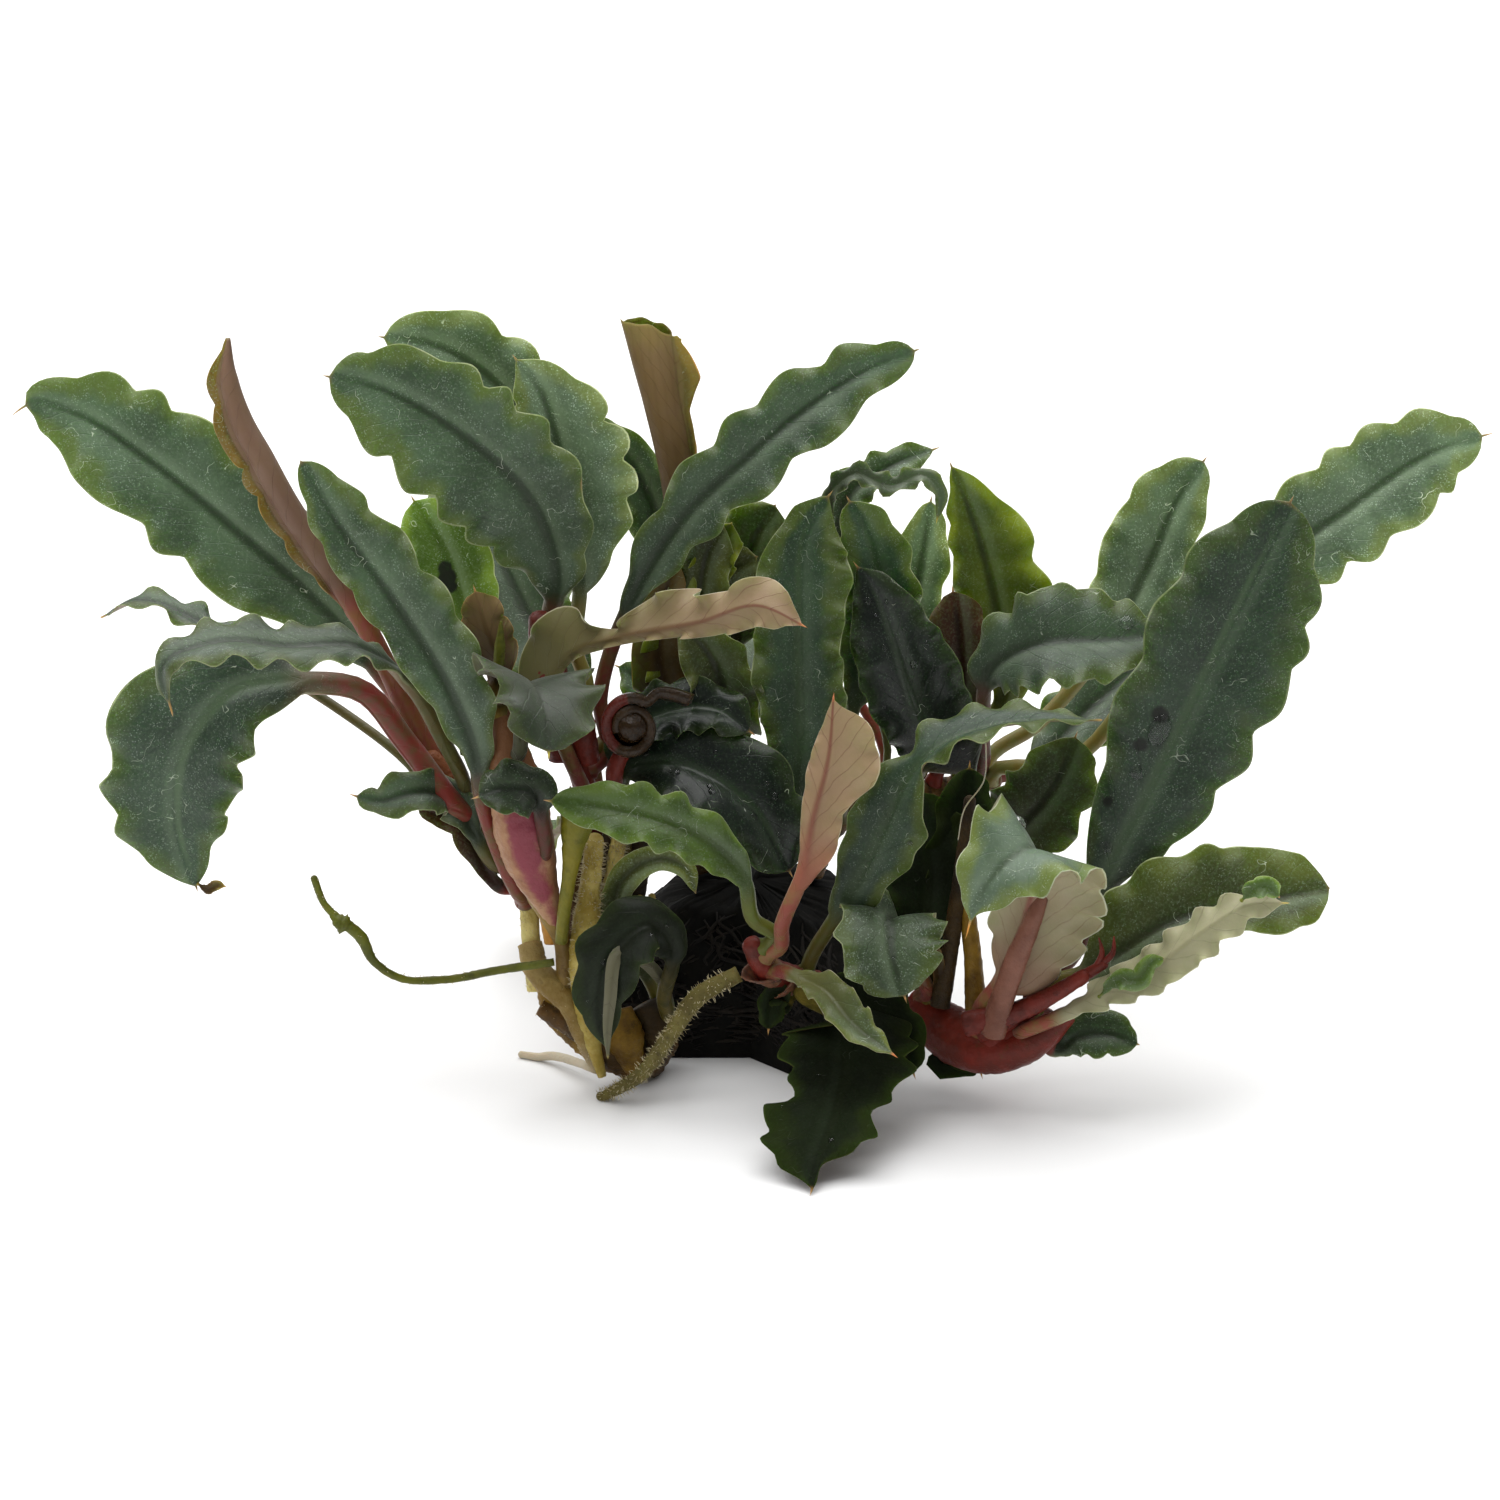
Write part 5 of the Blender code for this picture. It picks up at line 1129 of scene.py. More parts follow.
def rolled_leaves():
    """The two leaves that are still rolled up lengthwise."""
    rolled_leaf(
        "leaf_left_rolled",
        [(-30.6, -1.6, -7.6), (-32.6, 1, -7.3), (-34.4, 4.4, -7.2), (-36.4, 8.6, -8), (-40.2, 15.5, -8.2),
         (-42.4, 18.8, -8), (-44.5, 21.9, -7.5), (-46.7, 25.3, -7), (-48.8, 29.2, -6.5), (-51, 33.4, -5.4),
         (-52.1, 37.4, -4.6), (-52.1, 41.2, -4)],
        [1.1, 1.1, 1.05, 1.0, 1.0, 1.05, 1.1, 1.2, 1.25, 1.2, 1.1, 0.85, 0.12],
        [0, 0, 0, 0, 0, 0.2, 1.2, 1.7, 1.5, 1.7, 1.8, 1.5, 0.2],
        "pink_brown", waves=11, ripple=0.45, stalk_end=0.42,
        shade_at=(0, 14, 22, 29, 37, 50), shade=(1, 0.95, 0.78, 0.72, 0.95, 1.05))
    rolled_leaf(
        "leaf_brown_rolled",
        [(-5.9, 3.8, 3), (-6.2, 9, 3.6), (-6.4, 15, 4.3), (-6.6, 20, 4.5), (-6.9, 25.5, 4.5),
         (-7.6, 30, 4.4), (-8.7, 35, 4), (-9.7, 40, 3.7), (-10.4, 43.7, 3.5)],
        [0.8, 1.0, 1.3, 1.5, 1.65, 1.8, 1.9, 2.0, 2.15, 2.4, 2.8],
        [0, 0, 0, 0, 0.3, 0.4, 0.6, 0.8, 0.9, 0.8, 2.6, 1.8, 0.4],
        "brown", start=-50, waves=5, ripple=0.5, seed=8, mirror=True, flat_end=0.45, cut=(0.06, 0.0),
        shade_at=(0, 8, 14, 20, 28, 36, 48), shade=(1.3, 1.1, 1.25, 1.05, 0.85, 0.75, 0.9))


SCROLL_STATIONS = 90
SCROLL_ROWS = 14
SCROLL_SEED = 5


def scroll(name, middle, near, far, outline, look, thick):
    """A sheet rolled round a level axis that points at the viewer, following an outline in the front view."""
    rng = np.random.default_rng(SCROLL_SEED)
    share = np.linspace(0, 1, SCROLL_STATIONS)
    curve = smooth_path([(*p, 0) for p in outline], share)[:, :2]
    slope = np.gradient(curve, axis=0)
    normal = unit(np.column_stack([-slope[:, 1], slope[:, 0]]))
    steps = np.linspace(0, 1, SCROLL_ROWS)
    waviness = [0.25 * wander(share, rng, (3, 7)) * (1 - step) ** 2 for step in steps]
    faces = []
    for offset in (thick * 0.5, -thick * 0.5):
        rows = []
        for step, wavy in zip(steps, waviness):
            depth = near + (far - near) * step
            size = 0.9 + 0.1 * math.sin(math.pi * (0.15 + 0.85 * step))
            flat = curve * size + normal * offset
            rows.append([place(middle[0] + x, middle[1] + y, depth + w) for (x, y), w in zip(flat, wavy)])
        faces.append(np.array(rows))
    shape = (SCROLL_ROWS, SCROLL_STATIONS)
    values = {
        "scar": np.zeros(shape), "pale": np.zeros(shape),
        "share": np.broadcast_to(np.interp(share, [0.25, 0.32, 0.5, 0.6], [0, 1, 1, 0]), shape),
    }
    return sheet(name, *faces, STEM_LOOKS[look], STEM_SLOTS[look], values, values)


def curled_bud():
    """A young leaf still rolled up: a dark hood over a red flank, with a ball of rolled leaf inside."""
    start, turned = math.radians(58), math.radians(500)
    turn = np.linspace(start, start + turned, 24)
    size = np.linspace(3.2, 1.5, 24)
    outline = [(6.2, 2.9), (4.4, 3.5), (2.8, 3.6)]
    outline += [(r * 0.92 * math.cos(t), r * math.sin(t)) for t, r in zip(turn, size)]
    scroll("bud_curled_red_shape", (-11.9, 2.2), -15.2, -9.6, outline, "bud", 1.0)
    stem("bud_core", [(-11.8, 2.3, -15.6), (-11.8, 2.3, -13), (-11.8, 2.2, -9.8)], [1.3, 1.9, 1.4], "hood",
         bumps=0.12)
    stem("bud_stalk", [(-13.6, -4, -10), (-13.4, -1.6, -11), (-12.6, 0, -11.4)], [0.8, 0.9, 0.7], "red")


def small_pieces():
    """Small leaves, stubs and thin stems between the large leaves, which have no solid of their own."""
    leaf("sliver_behind", "stem_middle", 0.9, [(-8, 12, 8), (-8.8, 20, 8), (-10.5, 26, 8.5),
         (-13.5, 30.5, 8.5), (-17, 33.5, 8)], 0.35, 5.5, waves=5, look="blue_green", slot="leaf_green")
    leaf("curly_olive_high", "stem_middle", 0.93, [(-1.6, 10, 5), (-0.6, 17, 5), (0.6, 21.5, 5),
         (2.6, 24.6, 5)], 0.3, 7, waves=5, ripple=1.4, widest=0.75, look="cup", spike=0.2, tone=1.3)
    leaf("curly_olive_low", "stem_middle", 0.8, [(-4.4, 7, 4), (-4, 13, 3.5), (-2.2, 17.6, 3.5),
         (0.8, 19.4, 3)], 0.3, 6.4, waves=6, ripple=1.6, widest=0.75, look="cup", spike=0.2, tone=1.35)
    leaf("olive_curl", "stem_middle", 0.7, [(-5.4, 12, 0.6), (-5, 16.4, 0.4), (-4.2, 20, 0.4),
         (-2.6, 22.6, 0)], 0.15, 6.4, waves=4, ripple=1.3, widest=0.7, look="cup", spike=0.2, tone=1.4)
    leaf("brown_behind_pale", "stem_dark_red", 0.8, [(-9, 5, -0.6), (-9.2, 10, -0.8), (-8.6, 15, -0.4),
         (-7.4, 19, 0)], 0.1, 5.6, waves=3, ripple=0.4, look="brown", spike=0.2, tone=0.85)
    leaf("crinkled_fold_low", None, 0, [(35, -24.6, -26.6), (36.8, -23, -27.4), (38.8, -22.9, -27.8),
         (40.2, -21.2, -27.8), (41.4, -20.8, -27.4)], 0.05, 2.2, waves=3, ripple=0.8, look="bright",
         slot="leaf_green", spike=0.1, petiole=0.15, tone=1.0)
    leaf("crinkled_fold_tip", None, 0, [(49.2, -15, -27.2), (50.4, -13.9, -27.8), (51.8, -13.7, -27.8),
         (53, -14.8, -27.4)], 0.05, 2.0, waves=2, ripple=0.4, look="bright", slot="leaf_green", spike=0.3,
         petiole=0.15, tone=1.5)
    leaf("dry_tip_left", None, 0, [(-55.2, -13.4, -14.4), (-54.3, -13.9, -14.7), (-53.2, -13.5, -14.9),
         (-52.3, -13.7, -15)], 0.05, 1.1, waves=2, ripple=0.3, look="brown", spike=0.3, petiole=0.15,
         tone=1.7)
    leaf("dark_behind_left", "stem_pink", 0.62, [(-24, -2, -13), (-26, 1.5, -12.4), (-28.5, 4, -12),
         (-31, 5.6, -12)], 0.15, 6.5, waves=4)
    leaf("dark_behind_middle", "stem_dark_red", 0.62, [(-12.6, 1.6, -6.4), (-8, 3.8, -7), (-3.4, 4, -8),
         (0.6, 1.4, -9)], 0.2, 6.4, faces=[SLOPING], waves=5, look="black")
    leaf("withered_back", "stem_back", 0.5, [(9.4, 12, 6), (8.6, 20, 6.5), (8.2, 26, 6.5), (10.5, 27.6, 6),
         (14, 26.4, 6), (17.5, 27.4, 6), (19, 25.8, 5.6), (18.6, 22.5, 5.2)], 0.55, 2.2, faces=[SLOPING],
         waves=8, look="pale_top", petiole=0.4, tone=0.7)
    leaf("pale_small_back", "stem_middle", 0.5, [(-9, 4, 6), (-11, 6.5, 8), (-12.5, 8, 9),
         (-13.8, 8.6, 9.5)], 0.2, 4.2, waves=3, look="blue_green", petiole=0.5, slot="leaf_green")
    leaf("stub_low", "stem_front", 0.35, [(2.6, -24.4, -20.4), (2, -26.6, -20.8), (1.8, -28.6, -20.8)],
         0.1, 2.8, waves=3, ripple=0.2, look="darkest")
    leaf("olive_arch", "rhizome", 0.8, [(-13.6, -15.6, -14.6), (-12.9, -13.2, -14.8), (-11, -11.5, -15),
         (-8.5, -10.9, -15), (-6.3, -12, -15), (-5.4, -14.4, -14.8)], 0.2, 3.0, waves=3, ripple=0.3,
         look="cup", petiole=0.6, spike=0.3, tone=1.8)
    leaf("hooked_fold", "rhizome", 0.8, [(-13.6, -21.4, -22.4), (-14, -24.6, -23.4), (-14.3, -28, -23.6),
         (-14.2, -30.9, -23.4)], 0.1, 1.4, faces=[AWAY], waves=2, ripple=0.1, look="pale_grey",
         petiole=0.4, tone=0.4, spike=0.3)
    leaf("dark_behind_fold", "stem_right", 0.05, [(19, -20, -12.6), (20.6, -14, -11.6), (21.6, -7, -10.6),
         (22, -1, -10)], 0.2, 7, waves=4, look="darkest")
    leaf("dry_sheath_left", "stem_left", 0.42, [(-30, -6.6, -12.6), (-32, -6.2, -13),
         (-33.8, -5.2, -13.4)], 0.1, 3.2, waves=3, ripple=0.2, look="dark_brown")
    stem("aerial_root_knot", [(-39.6, -17.8, -20), (-40.6, -17.4, -20.2), (-41.8, -16.6, -20)],
         [0.3, 0.95, 0.3], "olive", bumps=0.25)
    stem("bud_olive", [(-25.2, 8, -15.6), (-25, 10.6, -15.6), (-24.9, 12.8, -15.4)], [0.5, 0.55, 0.15],
         "olive")
    stem("stub_red", [(23, -28.4, -19.4), (26.5, -26.8, -20.4), (31, -24, -21.8), (35.4, -21.4, -23)],
         [1.0, 0.9, 0.75, 0.5], "red")
    stem("stub_fork_left", [(34.6, -21.9, -22.8), (35.2, -20.2, -23), (34.9, -18.8, -23)],
         [0.4, 0.3, 0.08], "red", sides=10)
    stem("stub_fork_right", [(35, -21.6, -22.9), (36.3, -20.2, -23.2), (36.4, -18.7, -23.2)],
         [0.4, 0.3, 0.08], "red", sides=10)
    leaf("dark_between", "stem_right", 0.05, [(17.4, -18, -15), (17.8, -13, -12.5), (17, -8, -10.5),
         (15.6, -3.6, -9.5)], 0.2, 10, waves=5, look="darkest")
    leaf("dark_triangle", "stem_right", 0.3, [(21, -29.4, -16.6), (22.6, -31, -17.4), (23.3, -33, -18)],
         0.05, 6.4, pointed=True, widest=0.3, waves=2, ripple=0.1, look="darkest")
    leaf("dark_low_middle", "stem_front", 0.2, [(10, -24.6, -18), (13, -27, -20), (15.4, -30, -22),
         (16.6, -33, -23.6)], 0.1, 6.5, faces=[SLOPING], waves=3, ripple=0.3, look="darkest")
    leaf("brown_scale", "stem_right", 0.12, [(17.6, -18.6, -18.6), (16.6, -17.2, -19.4),
         (15.4, -16.6, -19.8)], 0.1, 1.4, faces=[SLOPING], waves=2, ripple=0.2, look="brown")


def pale_stems():
    """The crowd of pale stems and roots at the lower left, with the sheaths round the pink stem."""
    stem("pink_sheath", [(-19.1, -18, -16.2), (-20.2, -15.4, -16.6), (-21.6, -12, -17), (-22.6, -8.4, -17),
         (-23.2, -4.6, -16.6), (-24.2, -0.4, -16), (-25, 4, -15.4)], [0.6, 1.5, 2.5, 2.9, 2.7, 2.0, 1.0],
         "sheath", bumps=0.05, sides=32)
    stem("stalk_yellow_green", [(-18.9, -19.2, -17.6), (-18.5, -15.4, -18.4), (-17.9, -11.4, -18.8),
         (-17.6, -9, -18.6), (-17, -6, -18)], [0.6, 0.65, 0.7, 1.1, 2.0], "yellow_green")
    stem("stem_fuzzy", [(-14.8, -32.6, -16.4), (-15.8, -29, -16.6), (-16.5, -25, -16.8),
         (-16.7, -21, -16.4), (-16.3, -17, -15.6), (-15.9, -13, -14.6), (-15.5, -9, -13)],
         [0.45, 0.9, 1.2, 1.45, 1.4, 1.05, 0.9], "pale", bumps=0.09)
    stem("stem_hairy", [(-14.6, -20, -14), (-14, -15.4, -13.4), (-13.6, -12, -12.4), (-13.2, -9, -11)],
         [0.9, 0.95, 0.9, 0.8], "pale", bumps=0.12)
    stem("stem_brown_between", [(-15.2, -16, -13), (-14.6, -11, -11.8), (-14, -7, -10)], [0.6, 0.6, 0.5],
         "dark")
    stem("stem_orange", [(-19.8, -19.2, -15), (-20, -17.2, -15), (-20.3, -14.8, -15)], [0.8, 0.95, 0.7],
         "orange")
    stem("stem_short_pale", [(-12, -20.4, -13), (-11.6, -16.6, -12.4), (-11, -14.8, -11.4)],
         [0.7, 0.6, 0.4], "pale")
    stem("stem_short_second", [(-10.4, -18.4, -13), (-10, -16, -12), (-9.8, -14.6, -11)],
         [0.6, 0.55, 0.35], "pale")
    stem("root_broad", [(-22, -19.4, -13.4), (-21.4, -21.8, -14.8), (-20, -23.4, -15.8),
         (-18.2, -25.2, -16.2), (-17, -27.6, -16.2), (-16.2, -30, -16), (-15.4, -31.8, -15.6)],
         [1.2, 1.3, 1.3, 1.2, 1.1, 0.8, 0.5], "pale_root", bumps=0.1, pale=([0, 0.75, 1], [0, 0, 0.3]))
    stem("root_pale_thin_lower", [(-15.4, -32, -14.8), (-17.4, -31.2, -11.4), (-19.6, -30.6, -8.8),
         (-22.9, -31, -7)], [0.4, 0.45, 0.45, 0.35], "pale_root", bumps=0.1,
         pale=([0, 0.2, 1], [0.3, 0.8, 0.6]))
    stem("root_broad_side", [(-20.4, -23.6, -12.8), (-19, -26.6, -13.4), (-17.2, -28.6, -13.8),
         (-15.6, -30.4, -14)], [1.0, 1.5, 1.4, 0.9], "yellow_low", bumps=0.1)
    stem("lump_brown", [(-13.4, -26, -13.6), (-12.6, -29, -14.6), (-11.8, -31.6, -15)], [1.6, 2.2, 1.0],
         "yellow_low", sides=24)
    stem("lump_brown_side", [(-10.6, -25.4, -12.4), (-9, -28.6, -13.2), (-9.4, -31, -13.6)],
         [1.6, 1.9, 1.0], "dark", sides=24)
    stem("crown_base", [(16.8, -25.2, -13.6), (19.6, -28.4, -15.8), (24, -30, -18.4), (28.6, -28.8, -19.4),
         (31.6, -26.6, -19.6)], [1.7, 2.4, 2.5, 2.0, 1.0], "crown", bumps=0.05, sides=28)
    stem("crown_petiole", [(21.6, -27.4, -20.8), (26, -26.4, -22), (30.4, -24.4, -22.8),
         (33.4, -22.6, -23)], [1.3, 1.1, 0.9, 0.7], "red")
    stem("folded_leaf_stalk", [(24.3, -28.2, -21.6), (25.2, -25, -22.6), (26.6, -21, -23.4),
         (28.4, -16.8, -23.8), (29.2, -14.6, -23.4)], [1.3, 1.2, 1.15, 1.0, 0.7], "stalk_pink")
    stem("dark_upright_left", [(19, -25.6, -17), (20, -20, -16.6), (21, -13, -16), (22, -5, -15)],
         [1.0, 0.85, 0.75, 0.6], "dark")
    stem("dark_upright_right", [(22.6, -26.6, -17), (22.3, -21, -16.6), (21.8, -15, -16), (22.6, -9, -15)],
         [1.1, 0.9, 0.75, 0.6], "yellow_low")
    stem("brown_upright_left", [(-17.2, -19, -12), (-16.8, -13, -11), (-17, -7, -9.6)], [1.4, 1.2, 1.0],
         "brown")
    stem("brown_upright_right", [(-12.6, -18, -10.4), (-11.6, -12, -9), (-10.6, -6, -8)], [1.6, 1.5, 1.2],
         "dark")
    stem("loose_fibre", [(22.9, 4.6, -15), (23.6, 0, -17), (23.4, -3, -18), (21.4, -6, -18),
         (20.8, -9, -18)], [0.05, 0.07, 0.06, 0.07, 0.04], "fibre", sides=6)
    stem("red_bundle", [(-18.6, -0.6, -8.4), (-19.4, 4, -9), (-20.4, 9, -9.4), (-21, 13, -9)],
         [1.6, 1.9, 1.8, 1.2], "red", sides=26, bumps=0.08)
    stem("red_bundle_right", [(-16.2, -1, -9), (-17, 3, -10), (-17.8, 6.6, -10.6)], [1.2, 1.4, 1.0], "red")


ROOT_MAT_HEIGHT = 15.0
ROOT_MAT_OUTLINE = [
    (-14, 2), (-13, -6), (-8, -7.2), (0, -7.2), (4, -11.5), (9.5, -13.5),
    (14.5, -10), (16, -2), (14, 9), (7, 15.5), (-3, 16.5), (-11, 12),
]
ROOT_MAT_SIDES = 180
ROOT_FIBRES = 240
FIBRE_STATIONS = 15


def on_outline(turns):
    """Points of the root mat's outline, where each whole number is a corner."""
    corners = np.array(ROOT_MAT_OUTLINE, float)
    low = turns.astype(int)
    part = (turns - low)[:, None]
    return corners[low] * (1 - part) + corners[(low + 1) % len(corners)] * part


def root_mass():
    """The dense root mass: an uneven, fibrous block that is cut flat underneath."""
    rng = np.random.default_rng(7)
    corners = len(ROOT_MAT_OUTLINE)
    turn = np.arange(ROOT_MAT_SIDES) / ROOT_MAT_SIDES * corners
    outline = on_outline(turn)
    angle = turn / corners * math.tau
    levels = np.array([0, 0.01, 0.06, *np.linspace(0.12, 1, 26)])
    spread = np.interp(levels, [0, 0.02, 0.35, 0.7, 1], [0.985, 1.0, 1.01, 0.9, 0.6])
    waves = [(rng.integers(3, 40), rng.uniform(4, 40), rng.uniform(0, math.tau)) for _ in range(26)]
    rings = []
    for level, size in zip(levels, spread):
        uneven = sum(math.sin(up * level + start) * np.sin(n * angle + start) for n, up, start in waves)
        grain = 0.006 * uneven + 0.008 * rng.standard_normal(ROOT_MAT_SIDES)
        ring = outline * (size * (1 + grain * min(1, level * 12)))[:, None]
        height = level * ROOT_MAT_HEIGHT + 0.3 * min(1, level * 8) * np.sin(7 * angle + 9 * level)
        rings.append(np.column_stack([ring, height]))
    for size in (0.8, 0.55, 0.25):
        bump = 0.25 * rng.standard_normal(ROOT_MAT_SIDES)
        rings.append(np.column_stack([rings[-1][:, :2] * size, rings[-1][:, 2] + 0.35 + bump]))
    points, faces = lofted(rings, [0, 0, ROOT_MAT_HEIGHT + 1.0])
    made("root_mat_shape", points, faces, SHADED_ROOT_MASS_LOOK)

    even = np.linspace(0, 1, FIBRE_STATIONS)
    groups = []
    for _ in range(ROOT_FIBRES):
        start = rng.uniform(0, math.tau)
        drift = rng.uniform(-1.2, 1.2)
        heights = np.linspace(rng.uniform(3, 15), rng.uniform(0.3, 6), FIBRE_STATIONS)
        turns = start + np.linspace(0, drift, FIBRE_STATIONS) + 0.12 * wander(even, rng)
        edge = on_outline(turns / math.tau * corners % corners)
        size = np.interp(heights / ROOT_MAT_HEIGHT, [0, 0.35, 0.7, 1], [0.985, 1.0, 0.9, 0.6])
        path = np.column_stack([edge * size[:, None], heights])
        groups.append(thread(path, rng.uniform(0.1, 0.28)))
    joined("root_mat_fibres", groups, SHADED_FIBRE_LOOK)


def root_hairs():
    """Short pale hairs on the roots and on the stems' lower ends."""
    rng = np.random.default_rng(11)
    groups = []
    for name, count, low, high, longest in (
        ("root_front", 700, 0.05, 1.0, 0.75),
        ("stem_fuzzy", 1000, 0.4, 1.0, 0.8),
        ("stem_hairy", 800, 0.1, 1.0, 0.8),
        ("stem_short_pale", 90, 0.0, 1.0, 0.4),
        ("stem_short_second", 80, 0.0, 1.0, 0.4),
        ("root_broad", 300, 0.0, 0.9, 0.35),
        ("stem_left", 300, 0.0, 0.4, 0.4),
        ("rhizome", 160, 0.0, 1.0, 0.4),
        ("aerial_root", 90, 0.3, 1.0, 0.45),
    ):
        for _ in range(count):
            centre, radius, along = on_stem(name, rng.uniform(low, high))
            out = rng.standard_normal(3)
            out = unit(out - along * (out @ along))
            start = centre + out * radius * 0.8
            size = rng.uniform(0.3, 1) * longest
            bend = out * 0.8 + along * rng.uniform(-0.5, 0.5) + rng.standard_normal(3) * 0.25
            knee = start + out * size * 0.5
            path = np.array([start, knee, knee + unit(bend) * size * 0.5])
            groups.append(thread(path, rng.uniform(0.035, 0.06), 3))
    joined("root_hairs", groups, HAIR_LOOK)


SHEATH_THICKNESS = 0.14
SHEATH_GAP = 0.12
SHEATH_ROWS = 16
SHEATH_COLUMNS = 13


def sheath(name, stem_name, at, turn, span, tall, flare):
    """A dry membrane that wraps part of a stem below a leaf, pointed at its top."""
    centre, radius, along = on_stem(stem_name, at)
    side, front = square_to(along, CROSSWISE)
    rng = np.random.default_rng(int(abs(turn) * 100) + len(name))
    even = np.linspace(0, 1, SHEATH_COLUMNS)
    rings = []
    for h in np.linspace(0, 1, SHEATH_ROWS):
        wrap = math.radians(span) * (1 - h ** 2.2) * 0.5 + 0.02
        spots = math.radians(turn) + np.linspace(-wrap, wrap, SHEATH_COLUMNS)
        out = radius * 1.05 + SHEATH_GAP + flare * h ** 1.6 + 0.05 * wander(even, rng)
        direction = np.cos(spots)[:, None] * side + np.sin(spots)[:, None] * front
        lift = centre + along * (h * tall - 0.2)
        outer = lift + direction * out[:, None]
        inner = lift + direction * (out - SHEATH_THICKNESS)[:, None]
        rings.append(np.concatenate([outer, inner[::-1]]))
    points, faces = lofted(rings, rings[-1].mean(axis=0) + along * 0.25)
    return made(name, points, faces, SHEATH_LOOK)


def sheaths():
    """The dry sheaths of the crowns: stem, place on it, turn and span in degrees, height and flare."""
    for number, row in enumerate((
        ("stem_left", 0.55, -70, 200, 4.2, 0.5),
        ("stem_left", 0.75, 60, 180, 3.6, 0.6),
        ("stem_pink", 0.42, -100, 240, 7.5, 0.6),
        ("stem_pink", 0.62, 20, 200, 5.0, 0.8),
        ("stem_pink", 0.8, -140, 180, 4.0, 0.7),
        ("stem_dark_red", 0.6, -60, 200, 4.0, 0.5),
        ("stem_dark_red", 0.8, -120, 180, 3.6, 0.6),
        ("stem_front", 0.3, -90, 200, 3.2, 0.5),
        ("stem_front", 0.6, -30, 180, 3.0, 0.5),
    )):
        sheath(f"sheath_{number + 1}", *row)


DROP_SIDES = 18
DROP_RINGS = 11


def drop(leaf_name, u, v, size, flat=0.45, stretch=1.0):
    """Points and faces of a water drop that lies on a leaf's top at (u, v)."""
    inside, columns, top, upper = SURFACES[leaf_name]
    blade = np.nonzero(inside > 0)[0]
    row = int(np.clip(blade[np.argmin(np.abs(inside[blade] - u))], 1, len(inside) - 2))
    column = int(np.clip(np.argmin(np.abs(columns - v)), 1, len(columns) - 2))
    point = top[row, column]
    along = unit(top[row + 1, column] - top[row - 1, column])
    across = unit(top[row, column - 1] - top[row, column + 1])
    normal = unit(np.cross(across, along))
    if normal @ upper[row] < 0:
        normal = -normal
    across = np.cross(along, normal)
    turn = np.arange(DROP_SIDES) * math.tau / DROP_SIDES
    outline = np.cos(turn)[:, None] * along * stretch + np.sin(turn)[:, None] * across
    rings = []
    for polar in np.linspace(0.12, math.pi - 0.3, DROP_RINGS)[::-1]:
        height = math.cos(polar)
        lifted = height * flat if height > 0 else height * 0.25
        rings.append(point + size * math.sin(polar) * outline + normal * size * lifted)
    return lofted(rings, point + normal * size * flat)


def water_drops():
    """The water drops on the leaves: those that the photo shows well, then many small ones."""
    rng = np.random.default_rng(21)
    groups = [
        drop("leaf_right_great", 0.42, -0.28, 1.1, 0.12, 1.5),
        drop("leaf_right_great", 0.31, -0.38, 0.8, 0.12),
        drop("leaf_right_great", 0.13, -0.35, 0.7, 0.2),
        drop("leaf_right_level", 0.86, -0.3, 0.75, 0.4),
        drop("leaf_right_folded", 0.62, 0.45, 0.7, 0.5),
    ]
    for leaf_name, count, biggest in (
        ("leaf_glossy_dark", 9, 0.5), ("leaf_dark_small", 5, 0.35), ("leaf_dark_hooked", 5, 0.4),
        ("leaf_blue_black", 9, 0.45), ("leaf_grey_drooping", 3, 0.3), ("leaf_front_twisted", 3, 0.3),
        ("leaf_lowest", 4, 0.35), ("leaf_centre_long", 2, 0.25), ("leaf_right_great", 3, 0.25),
    ):
        for _ in range(count):
            u, v = rng.uniform(0.15, 0.85), rng.uniform(-0.75, 0.75)
            size = rng.uniform(0.35, 1) * biggest
            groups.append(drop(leaf_name, u, v, size, rng.uniform(0.35, 0.6), rng.uniform(0.9, 1.3)))
    joined("water_drops", groups, WATER_LOOK)


FLOOR_SIZE = 12
FLOOR_GREYS = (231.11, 234.9)
WORLD_STRENGTH = 0.3
LIGHTS_AIM = Vector((0, 0, 0.03))


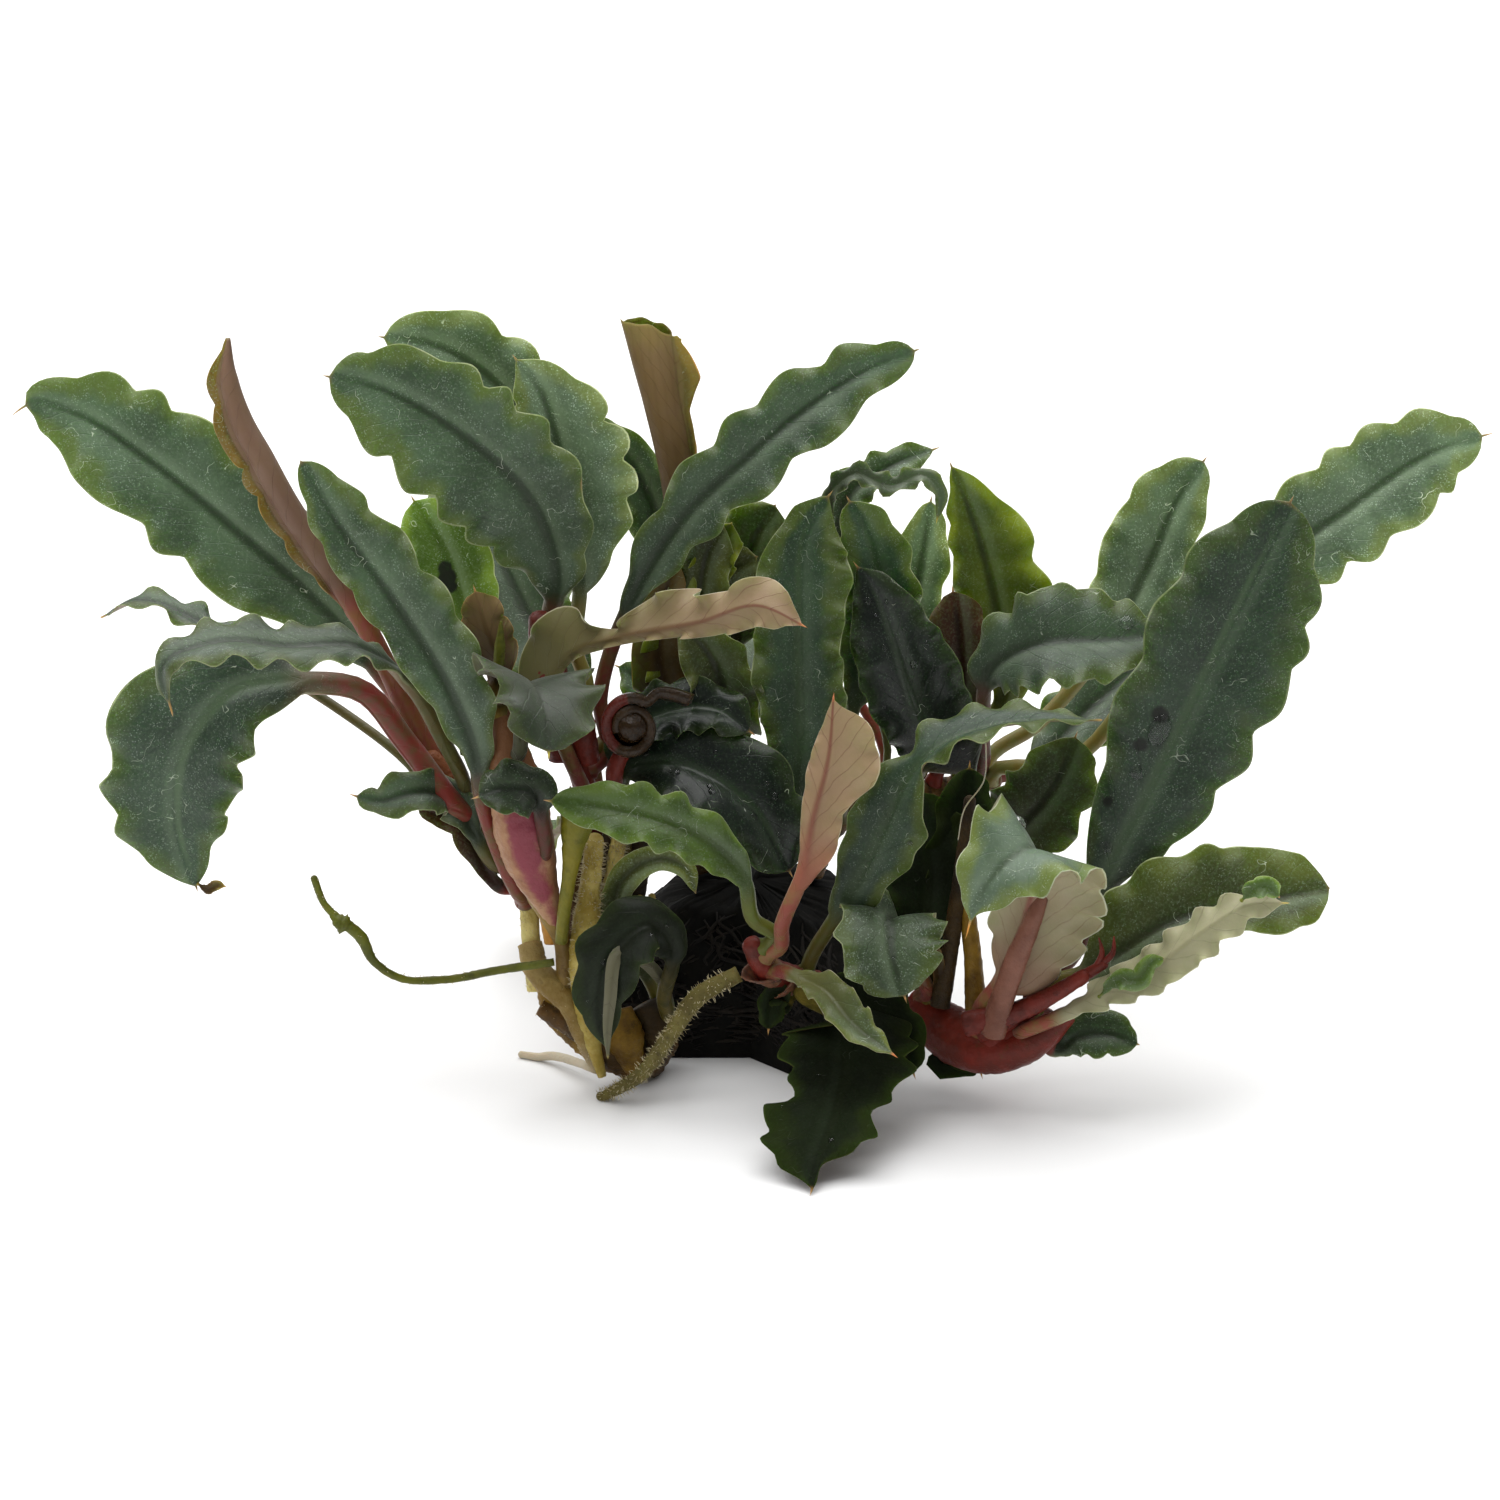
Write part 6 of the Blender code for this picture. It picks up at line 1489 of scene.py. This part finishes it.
def studio():
    """A pale floor, a soft light from above and in front, and the camera. Lengths here are in metres."""
    floor_look = Look("pale floor")
    darker, lighter = ((grey,) * 3 for grey in FLOOR_GREYS)
    floor_look.set(Base_Color=floor_look.mix(floor_look.noise(40), darker, lighter), Roughness=0.9)
    bpy.ops.mesh.primitive_plane_add(size=FLOOR_SIZE, location=(0, 0, 0))
    floor = bpy.context.object
    floor.name = "floor"
    floor.data.materials.append(floor_look.material)

    world = bpy.data.worlds.new("studio")
    bpy.context.scene.world = world
    world.use_nodes = True
    background = world.node_tree.nodes["Background"]
    background.inputs["Color"].default_value = (1, 1, 1, 1)
    background.inputs["Strength"].default_value = WORLD_STRENGTH
    for name, spot, size, power, glossy in (
        ("soft light above", (-0.1, 0.25, 1.2), 2.0, 42.0, True),
        ("soft light in front", (-0.5, -0.9, 0.8), 0.8, 3.0, False),
    ):
        lamp = bpy.data.lights.new(name, "AREA")
        lamp.shape = "SQUARE"
        lamp.size = size
        lamp.energy = power
        light = bpy.data.objects.new(name, lamp)
        light.location = spot
        light.visible_glossy = glossy
        light.rotation_euler = (LIGHTS_AIM - light.location).to_track_quat("-Z", "Y").to_euler()
        bpy.context.scene.collection.objects.link(light)

    lens = bpy.data.cameras.new("camera")
    lens.lens = VIEW_DISTANCE * SENSOR_WIDTH / VIEW_WIDTH
    lens.sensor_width = SENSOR_WIDTH
    lens.clip_start = 0.01
    camera = bpy.data.objects.new("camera", lens)
    target = Vector((0, 0, VIEW_MIDDLE_HEIGHT * MM))
    away = Vector((0, -math.cos(VIEW_ELEVATION), math.sin(VIEW_ELEVATION)))
    camera.location = target + away * VIEW_DISTANCE * MM
    camera.rotation_euler = (target - camera.location).to_track_quat("-Z", "Y").to_euler()
    bpy.context.scene.collection.objects.link(camera)
    bpy.context.scene.camera = camera
    bpy.context.scene.view_settings.view_transform = "Standard"


studio()
stems()
left_leaves()
pink_stem_leaves()
dark_red_stem_leaves()
middle_leaves()
back_right_leaves()
right_crown_leaves()
front_leaves()
hidden_leaves()
rolled_leaves()
curled_bud()
small_pieces()
pale_stems()
root_mass()
root_hairs()
sheaths()
water_drops()
